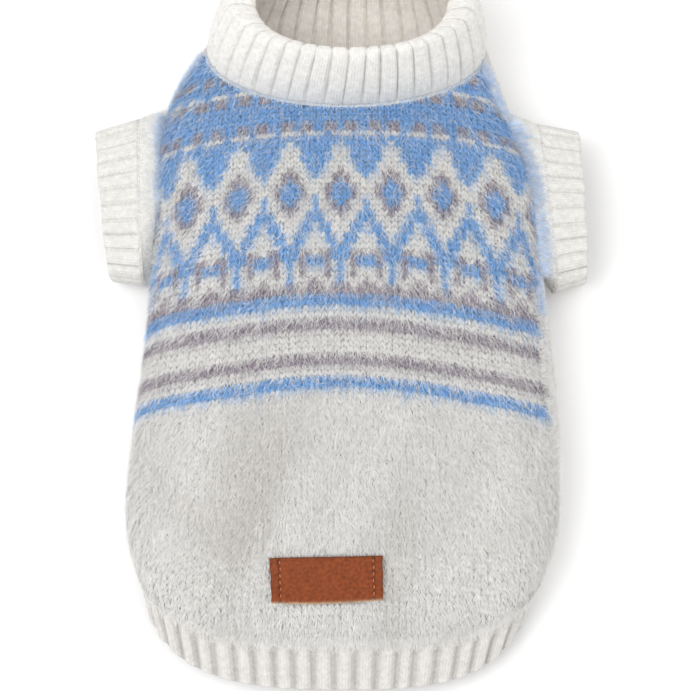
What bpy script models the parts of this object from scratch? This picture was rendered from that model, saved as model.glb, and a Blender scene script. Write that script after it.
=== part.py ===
"""Knitted pet sweater: back and belly panels, rolled rib collar, two short sleeves and a rib hem.

It lies belly down and lightly filled out. +Z is up, +Y runs towards the neck, +X is the right
side seen from above, and the flat underside of the belly rests on z = 0. Every cloth piece is a
wall between an outer and an inner surface, and neighbours stay SEAM_GAP apart. Sizes are in
millimetres from the body's own centre line; new_piece sets the origin at the footprint's middle.
"""
import bpy
import math
import numpy as np

MM = 0.001
FOOTPRINT_MIDDLE = np.array([-3.0, 22.7, 0.0])
SEAM_GAP = 0.3          # left between two sewn edges
SEAM_LIFT = 0.8         # a sleeve's seam off the panels' outer points
KNIT_WALL = 2.6         # panel and sleeve cloth
RIB_WALL = 3.2          # single rib of the hem and cuffs
COLLAR_WALL = 5.6       # doubled rib of the collar

COLLAR_HEIGHT = 36.0    # sewn edge to rim
COLLAR_TILT = 64.0      # degrees that the collar's axis rises from +Y
RIM_HALF_WIDTH = 57.4
RIM_HALF_DEPTH = 42.5
RIM_SIDE_SHIFT = 2.6    # the rim leans towards +X
COLLAR_BULGE = 1.6      # how far the collar swells between seam and rim
COLLAR_FOOT = 0.2       # share of the height where the cloth has turned up from the seam
COLLAR_RIBS = 40

CUFF_RIBS = 25
HEM_RIBS = 52
HEM_RIM = 1.2           # how far the hem's rounded edge stands past its last rings

LABEL_LENGTH = 49.5
LABEL_WIDTH = 19.5
LABEL_THICK = 1.5
LABEL_CENTRE = (-8.0, -106.0)
LABEL_TURN = -1.5       # degrees about +Z
LABEL_COLUMNS = 12
LABEL_ROWS = 5

# Rings of the body from the hem to the neck. Each runs over the back's centre line (top), the two
# sides and the belly's centre line (low). left and right are half-widths. top_round and low_round
# are the superellipse powers of its upper and lower halves. Points below z = 0 are pressed flat.
# The two seam columns say where the side seams cross a ring, counted round it: 0 right side,
# 1 top, 2 left side, 3 low, 4 right side again.
RING_COLUMNS = ("top_y", "top_z", "side_y", "side_z", "left", "right", "low_y", "low_z",
                "top_round", "low_round", "right_seam", "left_seam")
BODY_RINGS = {
    "hem edge": (-152.0, 14.5, -92.0, 5.5, 90.5, 82.5, -72.0, -3.0, 2.9, 3.2, 0.00, 2.04),
    "hem seam": (-132.0, 27.0, -76.0, 10.0, 95.0, 90.5, -50.0, -3.0, 3.0, 3.2, 0.03, 2.04),
    "tail": (-116.0, 38.0, -72.0, 15.5, 97.0, 94.0, -38.0, -3.5, 2.9, 3.2, 0.06, 2.06),
    "loin": (-90.0, 48.5, -60.0, 18.5, 96.9, 95.6, -24.0, -4.0, 2.6, 3.0, 0.10, 2.08),
    "waist": (-56.0, 55.5, -38.0, 20.5, 95.0, 96.4, -8.0, -4.0, 2.4, 3.0, 0.13, 2.09),
    "flank": (-10.0, 58.5, -2.0, 21.5, 91.1, 94.2, 12.0, -4.0, 2.3, 3.0, 0.14, 2.10),
    "ribs": (38.0, 59.0, 40.0, 22.0, 88.4, 90.6, 44.0, -4.0, 2.3, 3.0, 0.12, 2.10),
    "chest": (68.0, 58.0, 74.0, 22.5, 87.2, 88.6, 84.0, -4.0, 2.3, 2.8, 0.10, 2.08),
    "shoulder": (87.5, 56.5, 103.0, 24.0, 86.0, 81.0, 124.0, -3.5, 2.2, 2.6, 0.10, 2.06),
    "yoke": (100.0, 54.5, 126.0, 28.0, 77.6, 72.8, 154.0, 1.0, 2.1, 2.3, 0.12, 2.02),
    "neck": (108.5, 52.0, 144.0, 32.0, 65.5, 66.0, 179.0, 11.0, 2.0, 2.0, 0.12, 2.00),
}
HEM_EDGE = 0.0
HEM_SEAM = 1.0
NECK = 10.0

ARMHOLE_START = 5.86    # ring number at the rear corner of both armholes
ARMHOLE_END = 8.50      # ring number at the front corner
ARMHOLE_BACK = {"left": 1.91, "right": 0.12}    # place of the back's edge at mid armhole
ARMHOLE_BELLY = {"left": 2.34, "right": 3.66}   # place of the belly's edge there

# Soft folds that show: where, which way they run, how long and wide, and how high they stand.
FOLD_COLUMNS = ("x", "y", "heading", "length", "width", "height")
FOLDS = (
    (-58.0, -92.0, -55.0, 40.0, 13.0, -2.8),
    (-22.0, -88.0, -68.0, 46.0, 15.0, 1.8),
    (48.0, -86.0, 62.0, 42.0, 16.0, -2.6),
    (76.0, -58.0, 78.0, 34.0, 11.0, 1.6),
    (-78.0, -38.0, -80.0, 36.0, 10.0, 1.5),
    (-60.0, 60.0, 55.0, 34.0, 12.0, -1.6),
    (58.0, 66.0, -52.0, 32.0, 12.0, -1.8),
    (8.0, -40.0, -82.0, 44.0, 20.0, -1.2),
    (30.0, 22.0, 12.0, 50.0, 16.0, 1.0),
)

# Sleeve rings: x at the tube's middle and how much x grows per mm of y, where the sleeve meets its
# cuff (seam) and at the cuff's open end, and the tube's y extents at both.
SLEEVE_COLUMNS = ("seam_x", "seam_slant", "end_x", "end_slant",
                  "rear_y", "front_y", "end_rear_y", "end_front_y")
SLEEVES = {
    "left": (-95.4, -0.045, -113.0, -0.12, 35.0, 114.5, 37.5, 108.5),
    "right": (93.6, -0.09, 110.2, -0.03, 31.5, 112.0, 36.0, 108.5),
}
SLEEVE_MIDDLE_Y = 72.0
SLEEVE_LOW = -2.0       # the lowest point of its curve, pressed flat at the surface
SLEEVE_TOP = 33.5       # height at the cuff seam
CUFF_TOP = 31.5         # height at the open end
SLEEVE_ROUND = 2.8

BACK_COLUMNS = 30
BELLY_COLUMNS = 14
HEM_ROWS = 13           # rows of faces from the hem seam to the armholes
ARMHOLE_ROWS = 12
YOKE_ROWS = 4
SLEEVE_ROWS = 5
RIB_GROOVE = 1.2
RIB_CROWN = 0.3
RIB_POINTS = ((0.0, -RIB_GROOVE), (0.26, RIB_CROWN), (0.74, RIB_CROWN))     # share of a rib, height


def named(columns, row):
    return dict(zip(columns, row))


def body_ring_sizes(place):
    """Sizes of the ring at a place between two rows, on a smooth curve through the rows."""
    rows = np.array(list(BODY_RINGS.values()))
    lower = int(min(max(math.floor(place), 0), len(rows) - 2))
    t = place - lower
    before = rows[lower - 1] if lower > 0 else 2 * rows[0] - rows[1]
    after = rows[lower + 2] if lower + 2 < len(rows) else 2 * rows[-1] - rows[-2]
    start, stop = rows[lower], rows[lower + 1]
    slope_in = (stop - before) / 2
    slope_out = (after - start) / 2
    sizes = ((2 * t**3 - 3 * t**2 + 1) * start + (t**3 - 2 * t**2 + t) * slope_in
             + (3 * t**2 - 2 * t**3) * stop + (t**3 - t**2) * slope_out)
    return named(RING_COLUMNS, sizes)


def quarter_curve(side_x, side, end, power):
    """Dense points from a ring's side to its top or low point."""
    count = 80
    angle = np.pi / 2 * (0.5 - 0.5 * np.cos(np.pi * np.arange(count + 1) / count))
    across = np.cos(angle) ** (2 / power)
    along = np.sin(angle) ** (2 / power)
    across[-1] = 0.0
    curve = np.column_stack((side_x * across,
                             side[0] + (end[0] - side[0]) * along,
                             side[1] + (end[1] - side[1]) * along))
    curve[:, 2] = np.maximum(curve[:, 2], 0.0)
    return curve


def at_share(curve, share):
    """Points at shares of the length of a curve."""
    steps = np.linalg.norm(np.diff(curve, axis=0), axis=1)
    length = np.concatenate(([0.0], np.cumsum(steps)))
    return np.column_stack([np.interp(share * length[-1], length, curve[:, axis])
                            for axis in range(3)])


def body_ring(place, around):
    """Points of the unfolded body at one ring, for places counted round it."""
    size = body_ring_sizes(place)
    side = (size["side_y"], size["side_z"])
    top = (size["top_y"], size["top_z"])
    low = (size["low_y"], size["low_z"])
    quarters = (quarter_curve(size["right"], side, top, size["top_round"]),
                quarter_curve(-size["left"], side, top, size["top_round"])[::-1],
                quarter_curve(-size["left"], side, low, size["low_round"]),
                quarter_curve(size["right"], side, low, size["low_round"])[::-1])
    around = np.mod(np.asarray(around, float), 4.0)
    points = np.zeros((len(around), 3))
    for number, curve in enumerate(quarters):
        inside = np.floor(around).astype(int) == number
        points[inside] = at_share(curve, around[inside] - number)
    return points


def fold_height(points):
    """How far the folds lift the cloth at points of the upper side."""
    height = np.zeros(len(points))
    for row in FOLDS:
        fold = named(FOLD_COLUMNS, row)
        heading = math.radians(fold["heading"])
        dx = points[:, 0] - fold["x"]
        dy = points[:, 1] - fold["y"]
        along = dx * math.cos(heading) + dy * math.sin(heading)
        across = dy * math.cos(heading) - dx * math.sin(heading)
        height += fold["height"] * np.exp(-(along / fold["length"])**2 - (across / fold["width"])**2)
    return height


def unit(vectors):
    length = np.linalg.norm(vectors, axis=-1, keepdims=True)
    return vectors / np.maximum(length, 1e-9)


def surface_normals(surface, place, around):
    """Outward normals from four close neighbours on a surface function."""
    step = 0.03
    along = surface(place + step, around) - surface(place - step, around)
    round_ring = surface(place, around + step) - surface(place, around - step)
    return unit(np.cross(round_ring, along) * -1.0)


def body_outer(place, around):
    """Outer surface of the body, with its folds."""
    around = np.asarray(around, float)
    points = body_ring(place, around)
    normals = surface_normals(body_ring, place, around)
    upper = np.clip(normals[:, 2] * 2.0, 0.0, 1.0)
    ends = min(max((place - HEM_SEAM) / 1.5, 0.0), 1.0) * min(max((NECK - place) / 1.5, 0.0), 1.0)
    points = points + normals * (fold_height(points) * upper * ends)[:, None]
    return points


def wall_layers(place, around, thickness):
    """Outer and inner points of a body wall at one ring."""
    outer = body_outer(place, around)
    inner = outer - surface_normals(body_outer, place, around) * thickness
    return outer, inner


def panel_places():
    """Ring numbers of the panels' rows; rows fall on both corners of the armholes."""
    hem = np.linspace(HEM_SEAM, ARMHOLE_START, HEM_ROWS + 1)[:-1]
    turn = np.linspace(0.0, math.pi, ARMHOLE_ROWS + 1)[:-1]
    middle = (ARMHOLE_START + ARMHOLE_END) / 2
    arm = middle - (ARMHOLE_END - ARMHOLE_START) / 2 * np.cos(turn)
    yoke = np.linspace(ARMHOLE_END, NECK, YOKE_ROWS + 1)
    return np.concatenate((hem, arm, yoke))


def armhole_opening(place):
    """0 outside the armholes, 1 at their middle, on an ellipse."""
    middle = (ARMHOLE_START + ARMHOLE_END) / 2
    share = (place - middle) / ((ARMHOLE_END - ARMHOLE_START) / 2)
    return math.sqrt(max(1.0 - share**2, 0.0))


def edge_places(place, piece):
    """Places round the ring of the first and the last edge of the back or the belly."""
    wide = armhole_opening(place)
    size = body_ring_sizes(place)
    right, left = size["right_seam"], size["left_seam"]
    if piece == "back":
        return (right + (ARMHOLE_BACK["right"] - right) * wide,
                left + (ARMHOLE_BACK["left"] - left) * wide)
    return (left + (ARMHOLE_BELLY["left"] - left) * wide,
            4.0 + right + (ARMHOLE_BELLY["right"] - 4.0 - right) * wide)


def trim_edges(layer, amount):
    """Draw a grid's four edges in along the cloth by the same amount."""
    trimmed = layer.copy()
    trimmed[:, 0] += unit(layer[:, 1] - layer[:, 0]) * amount
    trimmed[:, -1] += unit(layer[:, -2] - layer[:, -1]) * amount
    trimmed[0] += unit(layer[1] - layer[0]) * amount
    trimmed[-1] += unit(layer[-2] - layer[-1]) * amount
    return trimmed


def panel_layers(piece, columns):
    outer_rows = []
    inner_rows = []
    for place in panel_places():
        first, last = edge_places(place, piece)
        outer, inner = wall_layers(place, np.linspace(first, last, columns + 1), KNIT_WALL)
        outer_rows.append(outer)
        inner_rows.append(inner)
    return (trim_edges(np.array(outer_rows), SEAM_GAP / 2),
            trim_edges(np.array(inner_rows), SEAM_GAP / 2))


def new_piece(name, points, faces, colour, roughness):
    """A named object with its own material, from points in millimetres."""
    mesh = bpy.data.meshes.new(name)
    mesh.from_pydata([tuple((point - FOOTPRINT_MIDDLE) * MM) for point in points], [], faces)
    mesh.validate()
    mesh.shade_smooth()
    mesh.set_sharp_from_angle(angle=math.radians(50))
    material = bpy.data.materials.new(name)
    material.use_nodes = True
    shader = material.node_tree.nodes["Principled BSDF"]
    shader.inputs["Base Color"].default_value = (*colour, 1.0)
    shader.inputs["Roughness"].default_value = roughness
    shader.inputs["Metallic"].default_value = 0.0
    mesh.materials.append(material)
    piece = bpy.data.objects.new(name, mesh)
    collection.objects.link(piece)
    return piece


def panel_piece(name, outer, inner, colour, roughness):
    """A panel's wall: two grids joined round their four edges."""
    rows, columns = outer.shape[:2]
    points = np.concatenate((outer.reshape(-1, 3), inner.reshape(-1, 3)))
    layer = rows * columns

    def corner(row, column, side):
        return side * layer + row * columns + column

    faces = []
    for row in range(rows - 1):
        for column in range(columns - 1):
            quad = ((row, column), (row + 1, column), (row + 1, column + 1), (row, column + 1))
            faces.append([corner(r, c, 0) for r, c in quad])
            faces.append([corner(r, c, 1) for r, c in reversed(quad)])
    border = [(0, c) for c in range(columns - 1)]
    border += [(r, columns - 1) for r in range(rows - 1)]
    border += [(rows - 1, c) for c in range(columns - 1, 0, -1)]
    border += [(r, 0) for r in range(rows - 1, 0, -1)]
    for here, there in zip(border, border[1:] + border[:1]):
        faces.append([corner(*here, 0), corner(*there, 0), corner(*there, 1), corner(*here, 1)])
    return new_piece(name, points, faces, colour, roughness)


def tube_piece(name, profile, colour, roughness):
    """A tube's wall: closed rings that follow each other round the wall's own section."""
    rings, columns = profile.shape[:2]
    faces = []
    for ring in range(rings):
        following = (ring + 1) % rings
        for column in range(columns):
            beside = (column + 1) % columns
            faces.append([ring * columns + column, ring * columns + beside,
                          following * columns + beside, following * columns + column])
    return new_piece(name, profile.reshape(-1, 3), faces, colour, roughness)


def face_outwards(piece):
    """Turn a closed wall the right way out."""
    mesh = piece.data
    points = np.array([vertex.co for vertex in mesh.vertices])
    volume = 0.0
    for polygon in mesh.polygons:
        corners = points[list(polygon.vertices)]
        for second in range(1, len(corners) - 1):
            volume += np.dot(corners[0], np.cross(corners[second], corners[second + 1]))
    if volume < 0.0:
        mesh.flip_normals()


def rib_columns(ribs):
    """Shares of the way round and heights of the points of a number of equal ribs."""
    shares = [(rib + share) / ribs for rib in range(ribs) for share, height in RIB_POINTS]
    heights = [height for rib in range(ribs) for share, height in RIB_POINTS]
    return np.array(shares), np.array(heights)


def resample_loop(loop, shares):
    """Points at shares of the length of a closed polyline of paired outer and inner points."""
    closed = np.concatenate((loop, loop[:1]))
    steps = np.linalg.norm(np.diff(closed[:, :3], axis=0), axis=1)
    length = np.concatenate(([0.0], np.cumsum(steps)))
    return np.column_stack([np.interp(shares * length[-1], length, closed[:, axis])
                            for axis in range(loop.shape[1])])


def sewn_edge(row, shares):
    """The whole ring of the panels' ends, back then belly, with the way on from the cloth."""
    parts = []
    for outer, inner in ((back_outer, back_inner), (belly_outer, belly_inner)):
        before = row + 1 if row == 0 else row - 1
        onward = unit(outer[row] - outer[before])
        parts.append(np.concatenate((outer[row], inner[row], onward), axis=1))
    loop = resample_loop(np.concatenate(parts), shares)
    return loop[:, 0:3], loop[:, 3:6], unit(loop[:, 6:9])


def build_hem():
    shares, relief = rib_columns(HEM_RIBS)
    outer_edge, inner_edge, onward = sewn_edge(0, shares)
    around = hem_places(outer_edge)
    base_outer = outer_edge + onward * SEAM_GAP * 2
    base_inner = inner_edge + onward * SEAM_GAP * 2
    outer_rings = [base_outer]
    inner_rings = [base_inner]
    for share, height in ((0.3, 1.0), (0.95, 0.8)):
        place = HEM_SEAM + (HEM_EDGE - HEM_SEAM) * share
        outer = body_ring(place, around)
        normals = surface_normals(body_ring, place, around)
        ribbed = outer + normals * (relief * height)[:, None]
        ribbed[:, 2] = np.maximum(ribbed[:, 2], 0.0)
        outer_rings.append(ribbed)
        inner = outer - normals * RIB_WALL
        inner_rings.append(inner)
    rim = (outer_rings[-1] + inner_rings[-1]) / 2
    rim = rim + unit(outer_rings[-1] - outer_rings[-2]) * HEM_RIM
    rim[:, 2] = np.maximum(rim[:, 2], HEM_RIM / 2)
    profile = np.array(outer_rings + [rim] + inner_rings[::-1])
    return tube_piece("hem_rib", profile, (0.70, 0.68, 0.66), 0.92)


def hem_places(points):
    """Places round the ring whose directions match the hem's sewn edge."""
    dense = np.linspace(0.0, 4.0, 1601)[:-1]
    ring = body_ring(HEM_SEAM, dense)
    nearest = [int(np.argmin(np.sum((ring - point)**2, axis=1))) for point in points]
    return np.unwrap(dense[nearest], period=4.0)


def collar_frame():
    tilt = math.radians(COLLAR_TILT)
    axis = np.array([0.0, math.cos(tilt), math.sin(tilt)])
    depth = np.array([0.0, math.sin(tilt), -math.cos(tilt)])
    return axis, depth


def build_collar():
    shares, relief = rib_columns(COLLAR_RIBS)
    outer_edge, inner_edge, onward = sewn_edge(-1, shares)
    axis, depth = collar_frame()
    centre = (outer_edge.max(axis=0) + outer_edge.min(axis=0)) / 2
    sideways = outer_edge[:, 0] - centre[0]
    forward = (outer_edge - centre) @ depth
    angle = np.arctan2(forward / np.ptp(forward), sideways / np.ptp(sideways))
    radial = np.outer(np.cos(angle) / RIM_HALF_WIDTH, (1.0, 0.0, 0.0))
    radial = unit(radial + np.outer(np.sin(angle) / RIM_HALF_DEPTH, depth))
    rim_centre = centre + axis * (COLLAR_HEIGHT - COLLAR_WALL / 2)
    rim_centre = rim_centre + np.array([RIM_SIDE_SHIFT, 0.0, 0.0])
    rim = rim_centre + np.outer(np.cos(angle) * RIM_HALF_WIDTH, (1.0, 0.0, 0.0))
    rim = rim + np.outer(np.sin(angle) * RIM_HALF_DEPTH, depth)
    base_outer = outer_edge + onward * SEAM_GAP * 2
    base_inner = inner_edge + onward * SEAM_GAP * 2
    profile = [base_outer]
    for share, height in ((COLLAR_FOOT, 0.9), (0.8, 1.0)):
        point = base_outer + (rim - base_outer) * share
        bulge = COLLAR_BULGE * math.sin(math.pi * share)
        profile.append(point + radial * (relief * height + bulge)[:, None])
    for turn, height in ((0.0, 1.0), (60.0, 0.8), (120.0, 0.25)):
        inward = COLLAR_WALL / 2 * (1.0 - math.cos(math.radians(turn)))
        upward = COLLAR_WALL / 2 * math.sin(math.radians(turn))
        profile.append(rim + radial * (relief * height - inward)[:, None] + axis * upward)
    profile.append(rim - radial * COLLAR_WALL)
    profile.append(base_outer + (rim - base_outer) * COLLAR_FOOT - radial * COLLAR_WALL)
    profile.append(base_inner)
    return tube_piece("collar", np.array(profile), (0.78, 0.76, 0.74), 0.92)


def armhole_loop(side):
    """Points round an armhole: its edge, the cloth's normal, and the way off into the cloth."""
    rows = range(HEM_ROWS, HEM_ROWS + ARMHOLE_ROWS + 1)
    back_column, belly_column = (-1, 0) if side == "left" else (0, -1)
    places = panel_places()
    points = []
    normals = []
    for row in list(rows) + list(reversed(rows))[1:-1]:
        on_back = len(points) <= ARMHOLE_ROWS
        layer, column = (back_outer, back_column) if on_back else (belly_outer, belly_column)
        point = layer[row, column]
        if row in (rows[0], rows[-1]):
            point = (back_outer[row, back_column] + belly_outer[row, belly_column]) / 2
        around = edge_places(places[row], "back" if on_back else "belly")[column]
        points.append(point)
        normals.append(surface_normals(body_outer, places[row], np.array([around]))[0])
    edge, normal = np.array(points), np.array(normals)
    tangent = np.roll(edge, -1, axis=0) - np.roll(edge, 1, axis=0)
    away = unit(np.cross(tangent, normal))
    if np.sum(away * (edge - edge.mean(axis=0))) < 0.0:
        away = -away
    return edge, normal, away


def sleeve_ring(side, share, angles, drop):
    """Section of a sleeve between its cuff seam (0) and open end (1), drawn in by drop."""
    size = named(SLEEVE_COLUMNS, SLEEVES[side])
    rear = size["rear_y"] + (size["end_rear_y"] - size["rear_y"]) * share
    front = size["front_y"] + (size["end_front_y"] - size["front_y"]) * share
    top = SLEEVE_TOP + (CUFF_TOP - SLEEVE_TOP) * share
    middle = np.array([(rear + front) / 2, (top + SLEEVE_LOW) / 2])
    half = np.array([(front - rear) / 2 - drop, (top - SLEEVE_LOW) / 2 - drop])
    cosine, sine = np.cos(angles), np.sin(angles)
    y = middle[0] + half[0] * np.sign(cosine) * np.abs(cosine) ** (2 / SLEEVE_ROUND)
    z = middle[1] + half[1] * np.sign(sine) * np.abs(sine) ** (2 / SLEEVE_ROUND)
    z = np.maximum(z, drop)
    slant = size["seam_slant"] + (size["end_slant"] - size["seam_slant"]) * share
    x = size["seam_x"] + (size["end_x"] - size["seam_x"]) * share + slant * (y - SLEEVE_MIDDLE_Y)
    return np.column_stack((x, y, z))


def build_sleeve(side):
    edge, normal, away = armhole_loop(side)
    base_inner = edge + normal * SEAM_LIFT
    base_outer = base_inner + away * KNIT_WALL
    base_outer[:, 2] = np.maximum(base_outer[:, 2], 0.0)
    middle = (edge.max(axis=0) + edge.min(axis=0)) / 2
    half = (edge.max(axis=0) - edge.min(axis=0)) / 2
    y_share = (edge[:, 1] - middle[1]) / half[1]
    z_share = (edge[:, 2] - middle[2]) / half[2]
    power = SLEEVE_ROUND / 2
    angles = np.arctan2(np.sign(z_share) * np.abs(z_share) ** power,
                        np.sign(y_share) * np.abs(y_share) ** power)
    seam_outer = sleeve_ring(side, 0.0, angles, 0.0)
    seam_inner = sleeve_ring(side, 0.0, angles, KNIT_WALL)
    outward = np.sign(seam_outer[0, 0])
    seam_outer[:, 0] -= outward * SEAM_GAP / 2
    seam_inner[:, 0] -= outward * SEAM_GAP / 2
    outer_rings = []
    inner_rings = []
    for row in range(SLEEVE_ROWS + 1):
        share = row / SLEEVE_ROWS
        outer_rings.append(base_outer + (seam_outer - base_outer) * share)
        inner_rings.append(base_inner + (seam_inner - base_inner) * share)
    profile = np.array(outer_rings + inner_rings[::-1])
    return tube_piece("sleeve_" + side, profile, (0.76, 0.75, 0.74), 0.92)


def even_angles(side, shares):
    """Angles that set a sleeve ring's points at equal lengths."""
    dense = np.linspace(0.0, 2 * math.pi, 2001)
    ring = sleeve_ring(side, 0.5, dense, 0.0)
    length = np.concatenate(([0.0], np.cumsum(np.linalg.norm(np.diff(ring, axis=0), axis=1))))
    return np.interp(shares * length[-1], length, dense)


def build_cuff(side):
    shares, relief = rib_columns(CUFF_RIBS)
    angles = even_angles(side, shares)
    outward = np.sign(SLEEVES[side][0])
    outer_rings = []
    inner_rings = []
    for share, height in ((0.0, 0.3), (0.25, 1.0), (0.94, 1.0)):
        outer = sleeve_ring(side, share, angles, 0.0)
        inner = sleeve_ring(side, share, angles, RIB_WALL)
        normal = unit((outer - inner) * np.array([0.0, 1.0, 1.0]))
        ribbed = outer + normal * (relief * height)[:, None]
        ribbed[:, 2] = np.maximum(ribbed[:, 2], 0.0)
        outer_rings.append(ribbed)
        inner_rings.append(inner)
    inner_rings.pop(1)
    for ring in (outer_rings[0], inner_rings[0]):
        ring[:, 0] += outward * SEAM_GAP / 2
    rim = sleeve_ring(side, 1.0, angles, RIB_WALL / 2)
    profile = np.array(outer_rings + [rim] + inner_rings[::-1])
    return tube_piece("cuff_" + side, profile, (0.78, 0.77, 0.75), 0.92)


def back_points():
    """Dense points of the tail of the back."""
    rings = [body_outer(place, np.linspace(0.3, 1.7, 121)) for place in np.linspace(HEM_SEAM, 4.0, 80)]
    return np.concatenate(rings)


def build_label():
    """A leather patch that follows the back, a little way off it."""
    surface = back_points()
    turn = math.radians(LABEL_TURN)
    across, along = np.meshgrid(np.linspace(-0.5, 0.5, LABEL_COLUMNS + 1) * LABEL_LENGTH,
                                np.linspace(-0.5, 0.5, LABEL_ROWS + 1) * LABEL_WIDTH)
    x = LABEL_CENTRE[0] + across * math.cos(turn) - along * math.sin(turn)
    y = LABEL_CENTRE[1] + across * math.sin(turn) + along * math.cos(turn)
    z = np.zeros_like(x)
    for spot in np.ndindex(x.shape):
        distance = np.hypot(surface[:, 0] - x[spot], surface[:, 1] - y[spot])
        near = np.argsort(distance)[:6]
        z[spot] = np.average(surface[near, 2], weights=1.0 / (0.2 + distance[near]))
    lower = np.stack((x, y, z), axis=-1)
    lift = unit(np.cross(np.gradient(lower, axis=1), np.gradient(lower, axis=0)))
    lower = lower + lift * (SEAM_GAP + 0.1)
    return panel_piece("label", lower + lift * LABEL_THICK, lower, (0.27, 0.07, 0.025), 0.55)


for leftover in list(bpy.data.objects):
    bpy.data.objects.remove(leftover, do_unlink=True)
collection = bpy.data.collections.new("cat_sweater")
bpy.context.scene.collection.children.link(collection)

back_outer, back_inner = panel_layers("back", BACK_COLUMNS)
belly_outer, belly_inner = panel_layers("belly", BELLY_COLUMNS)
pieces = [panel_piece("back_panel", back_outer, back_inner, (0.60, 0.61, 0.63), 0.95),
          panel_piece("belly_panel", belly_outer, belly_inner, (0.72, 0.71, 0.70), 0.93),
          build_hem(),
          build_collar(),
          build_label()]
for side_name in SLEEVES:
    pieces.append(build_sleeve(side_name))
    pieces.append(build_cuff(side_name))
for piece in pieces:
    face_outwards(piece)
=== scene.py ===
"""A knitted cat sweater, lying back up on a pale floor.

A brushed jacquard back over a plain belly, a rolled rib collar, two short sleeves with rib cuffs,
a rib shirt-tail hem and a leather patch. Sizes are in millimetres from the body's centre line, and
every mesh is moved to the frame's origin as it is made.
"""
import math
import bpy
import numpy as np
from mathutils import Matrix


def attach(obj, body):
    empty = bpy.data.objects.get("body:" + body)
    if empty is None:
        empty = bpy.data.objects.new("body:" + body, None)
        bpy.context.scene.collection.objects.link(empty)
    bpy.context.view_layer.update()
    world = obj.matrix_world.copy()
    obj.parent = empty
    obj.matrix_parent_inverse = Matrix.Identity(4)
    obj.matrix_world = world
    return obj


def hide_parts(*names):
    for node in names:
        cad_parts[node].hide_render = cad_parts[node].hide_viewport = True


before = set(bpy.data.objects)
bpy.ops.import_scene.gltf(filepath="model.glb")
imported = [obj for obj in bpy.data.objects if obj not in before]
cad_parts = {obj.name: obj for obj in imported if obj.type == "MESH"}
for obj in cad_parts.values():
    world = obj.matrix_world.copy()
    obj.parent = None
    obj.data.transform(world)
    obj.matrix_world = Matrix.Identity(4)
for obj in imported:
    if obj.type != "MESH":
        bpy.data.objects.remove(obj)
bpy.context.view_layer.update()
bpy.ops.object.select_all(action="DESELECT")

# ---- Back: the cloth ------------------------------------------------------------------------------
# The back is one piece of jacquard knit, shaped to a scooped neck, two armholes and a curved tail.
# Its cloth follows the body's rings; wales run from hem to neck and courses run from side to side.
FOOTPRINT_MIDDLE = np.array([-3.0, 22.7, 0.0])
RING_COLUMNS = ("top_y", "top_z", "side_y", "side_z", "left", "right", "low_y", "low_z",
                "top_round", "low_round", "right_seam", "left_seam")
BODY_RINGS = np.array([
    (-152.0, 14.5, -92.0, 5.5, 90.5, 82.5, -72.0, -3.0, 2.9, 3.2, 0.00, 2.04),
    (-132.0, 27.0, -76.0, 10.0, 95.0, 90.5, -50.0, -3.0, 3.0, 3.2, 0.03, 2.04),
    (-116.0, 38.0, -72.0, 15.5, 97.0, 94.0, -38.0, -3.5, 2.9, 3.2, 0.06, 2.06),
    (-90.0, 48.5, -60.0, 18.5, 96.9, 95.6, -24.0, -4.0, 2.6, 3.0, 0.10, 2.08),
    (-56.0, 55.5, -38.0, 20.5, 95.0, 96.4, -8.0, -4.0, 2.4, 3.0, 0.13, 2.09),
    (-10.0, 58.5, -2.0, 21.5, 91.1, 94.2, 12.0, -4.0, 2.3, 3.0, 0.14, 2.10),
    (38.0, 59.0, 40.0, 22.0, 88.4, 90.6, 44.0, -4.0, 2.3, 3.0, 0.12, 2.10),
    (68.0, 58.0, 74.0, 22.5, 87.2, 88.6, 84.0, -4.0, 2.3, 2.8, 0.10, 2.08),
    (87.5, 56.5, 103.0, 24.0, 86.0, 81.0, 124.0, -3.5, 2.2, 2.6, 0.10, 2.06),
    (100.0, 54.5, 126.0, 28.0, 77.6, 72.8, 154.0, 1.0, 2.1, 2.3, 0.12, 2.02),
    (108.5, 52.0, 144.0, 32.0, 65.5, 66.0, 179.0, 11.0, 2.0, 2.0, 0.12, 2.00)])
HEM_SEAM, NECK = 1.0, 10.0
ARMHOLE_START, ARMHOLE_END = 5.86, 8.50
ARMHOLE_MIDDLE, ARMHOLE_HALF = (ARMHOLE_START + ARMHOLE_END) / 2, (ARMHOLE_END - ARMHOLE_START) / 2
ARMHOLE_BACK = {"left": 1.91, "right": 0.12}
ARMHOLE_BELLY = {"left": 2.34, "right": 3.66}
KNIT_WALL = 2.6
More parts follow.
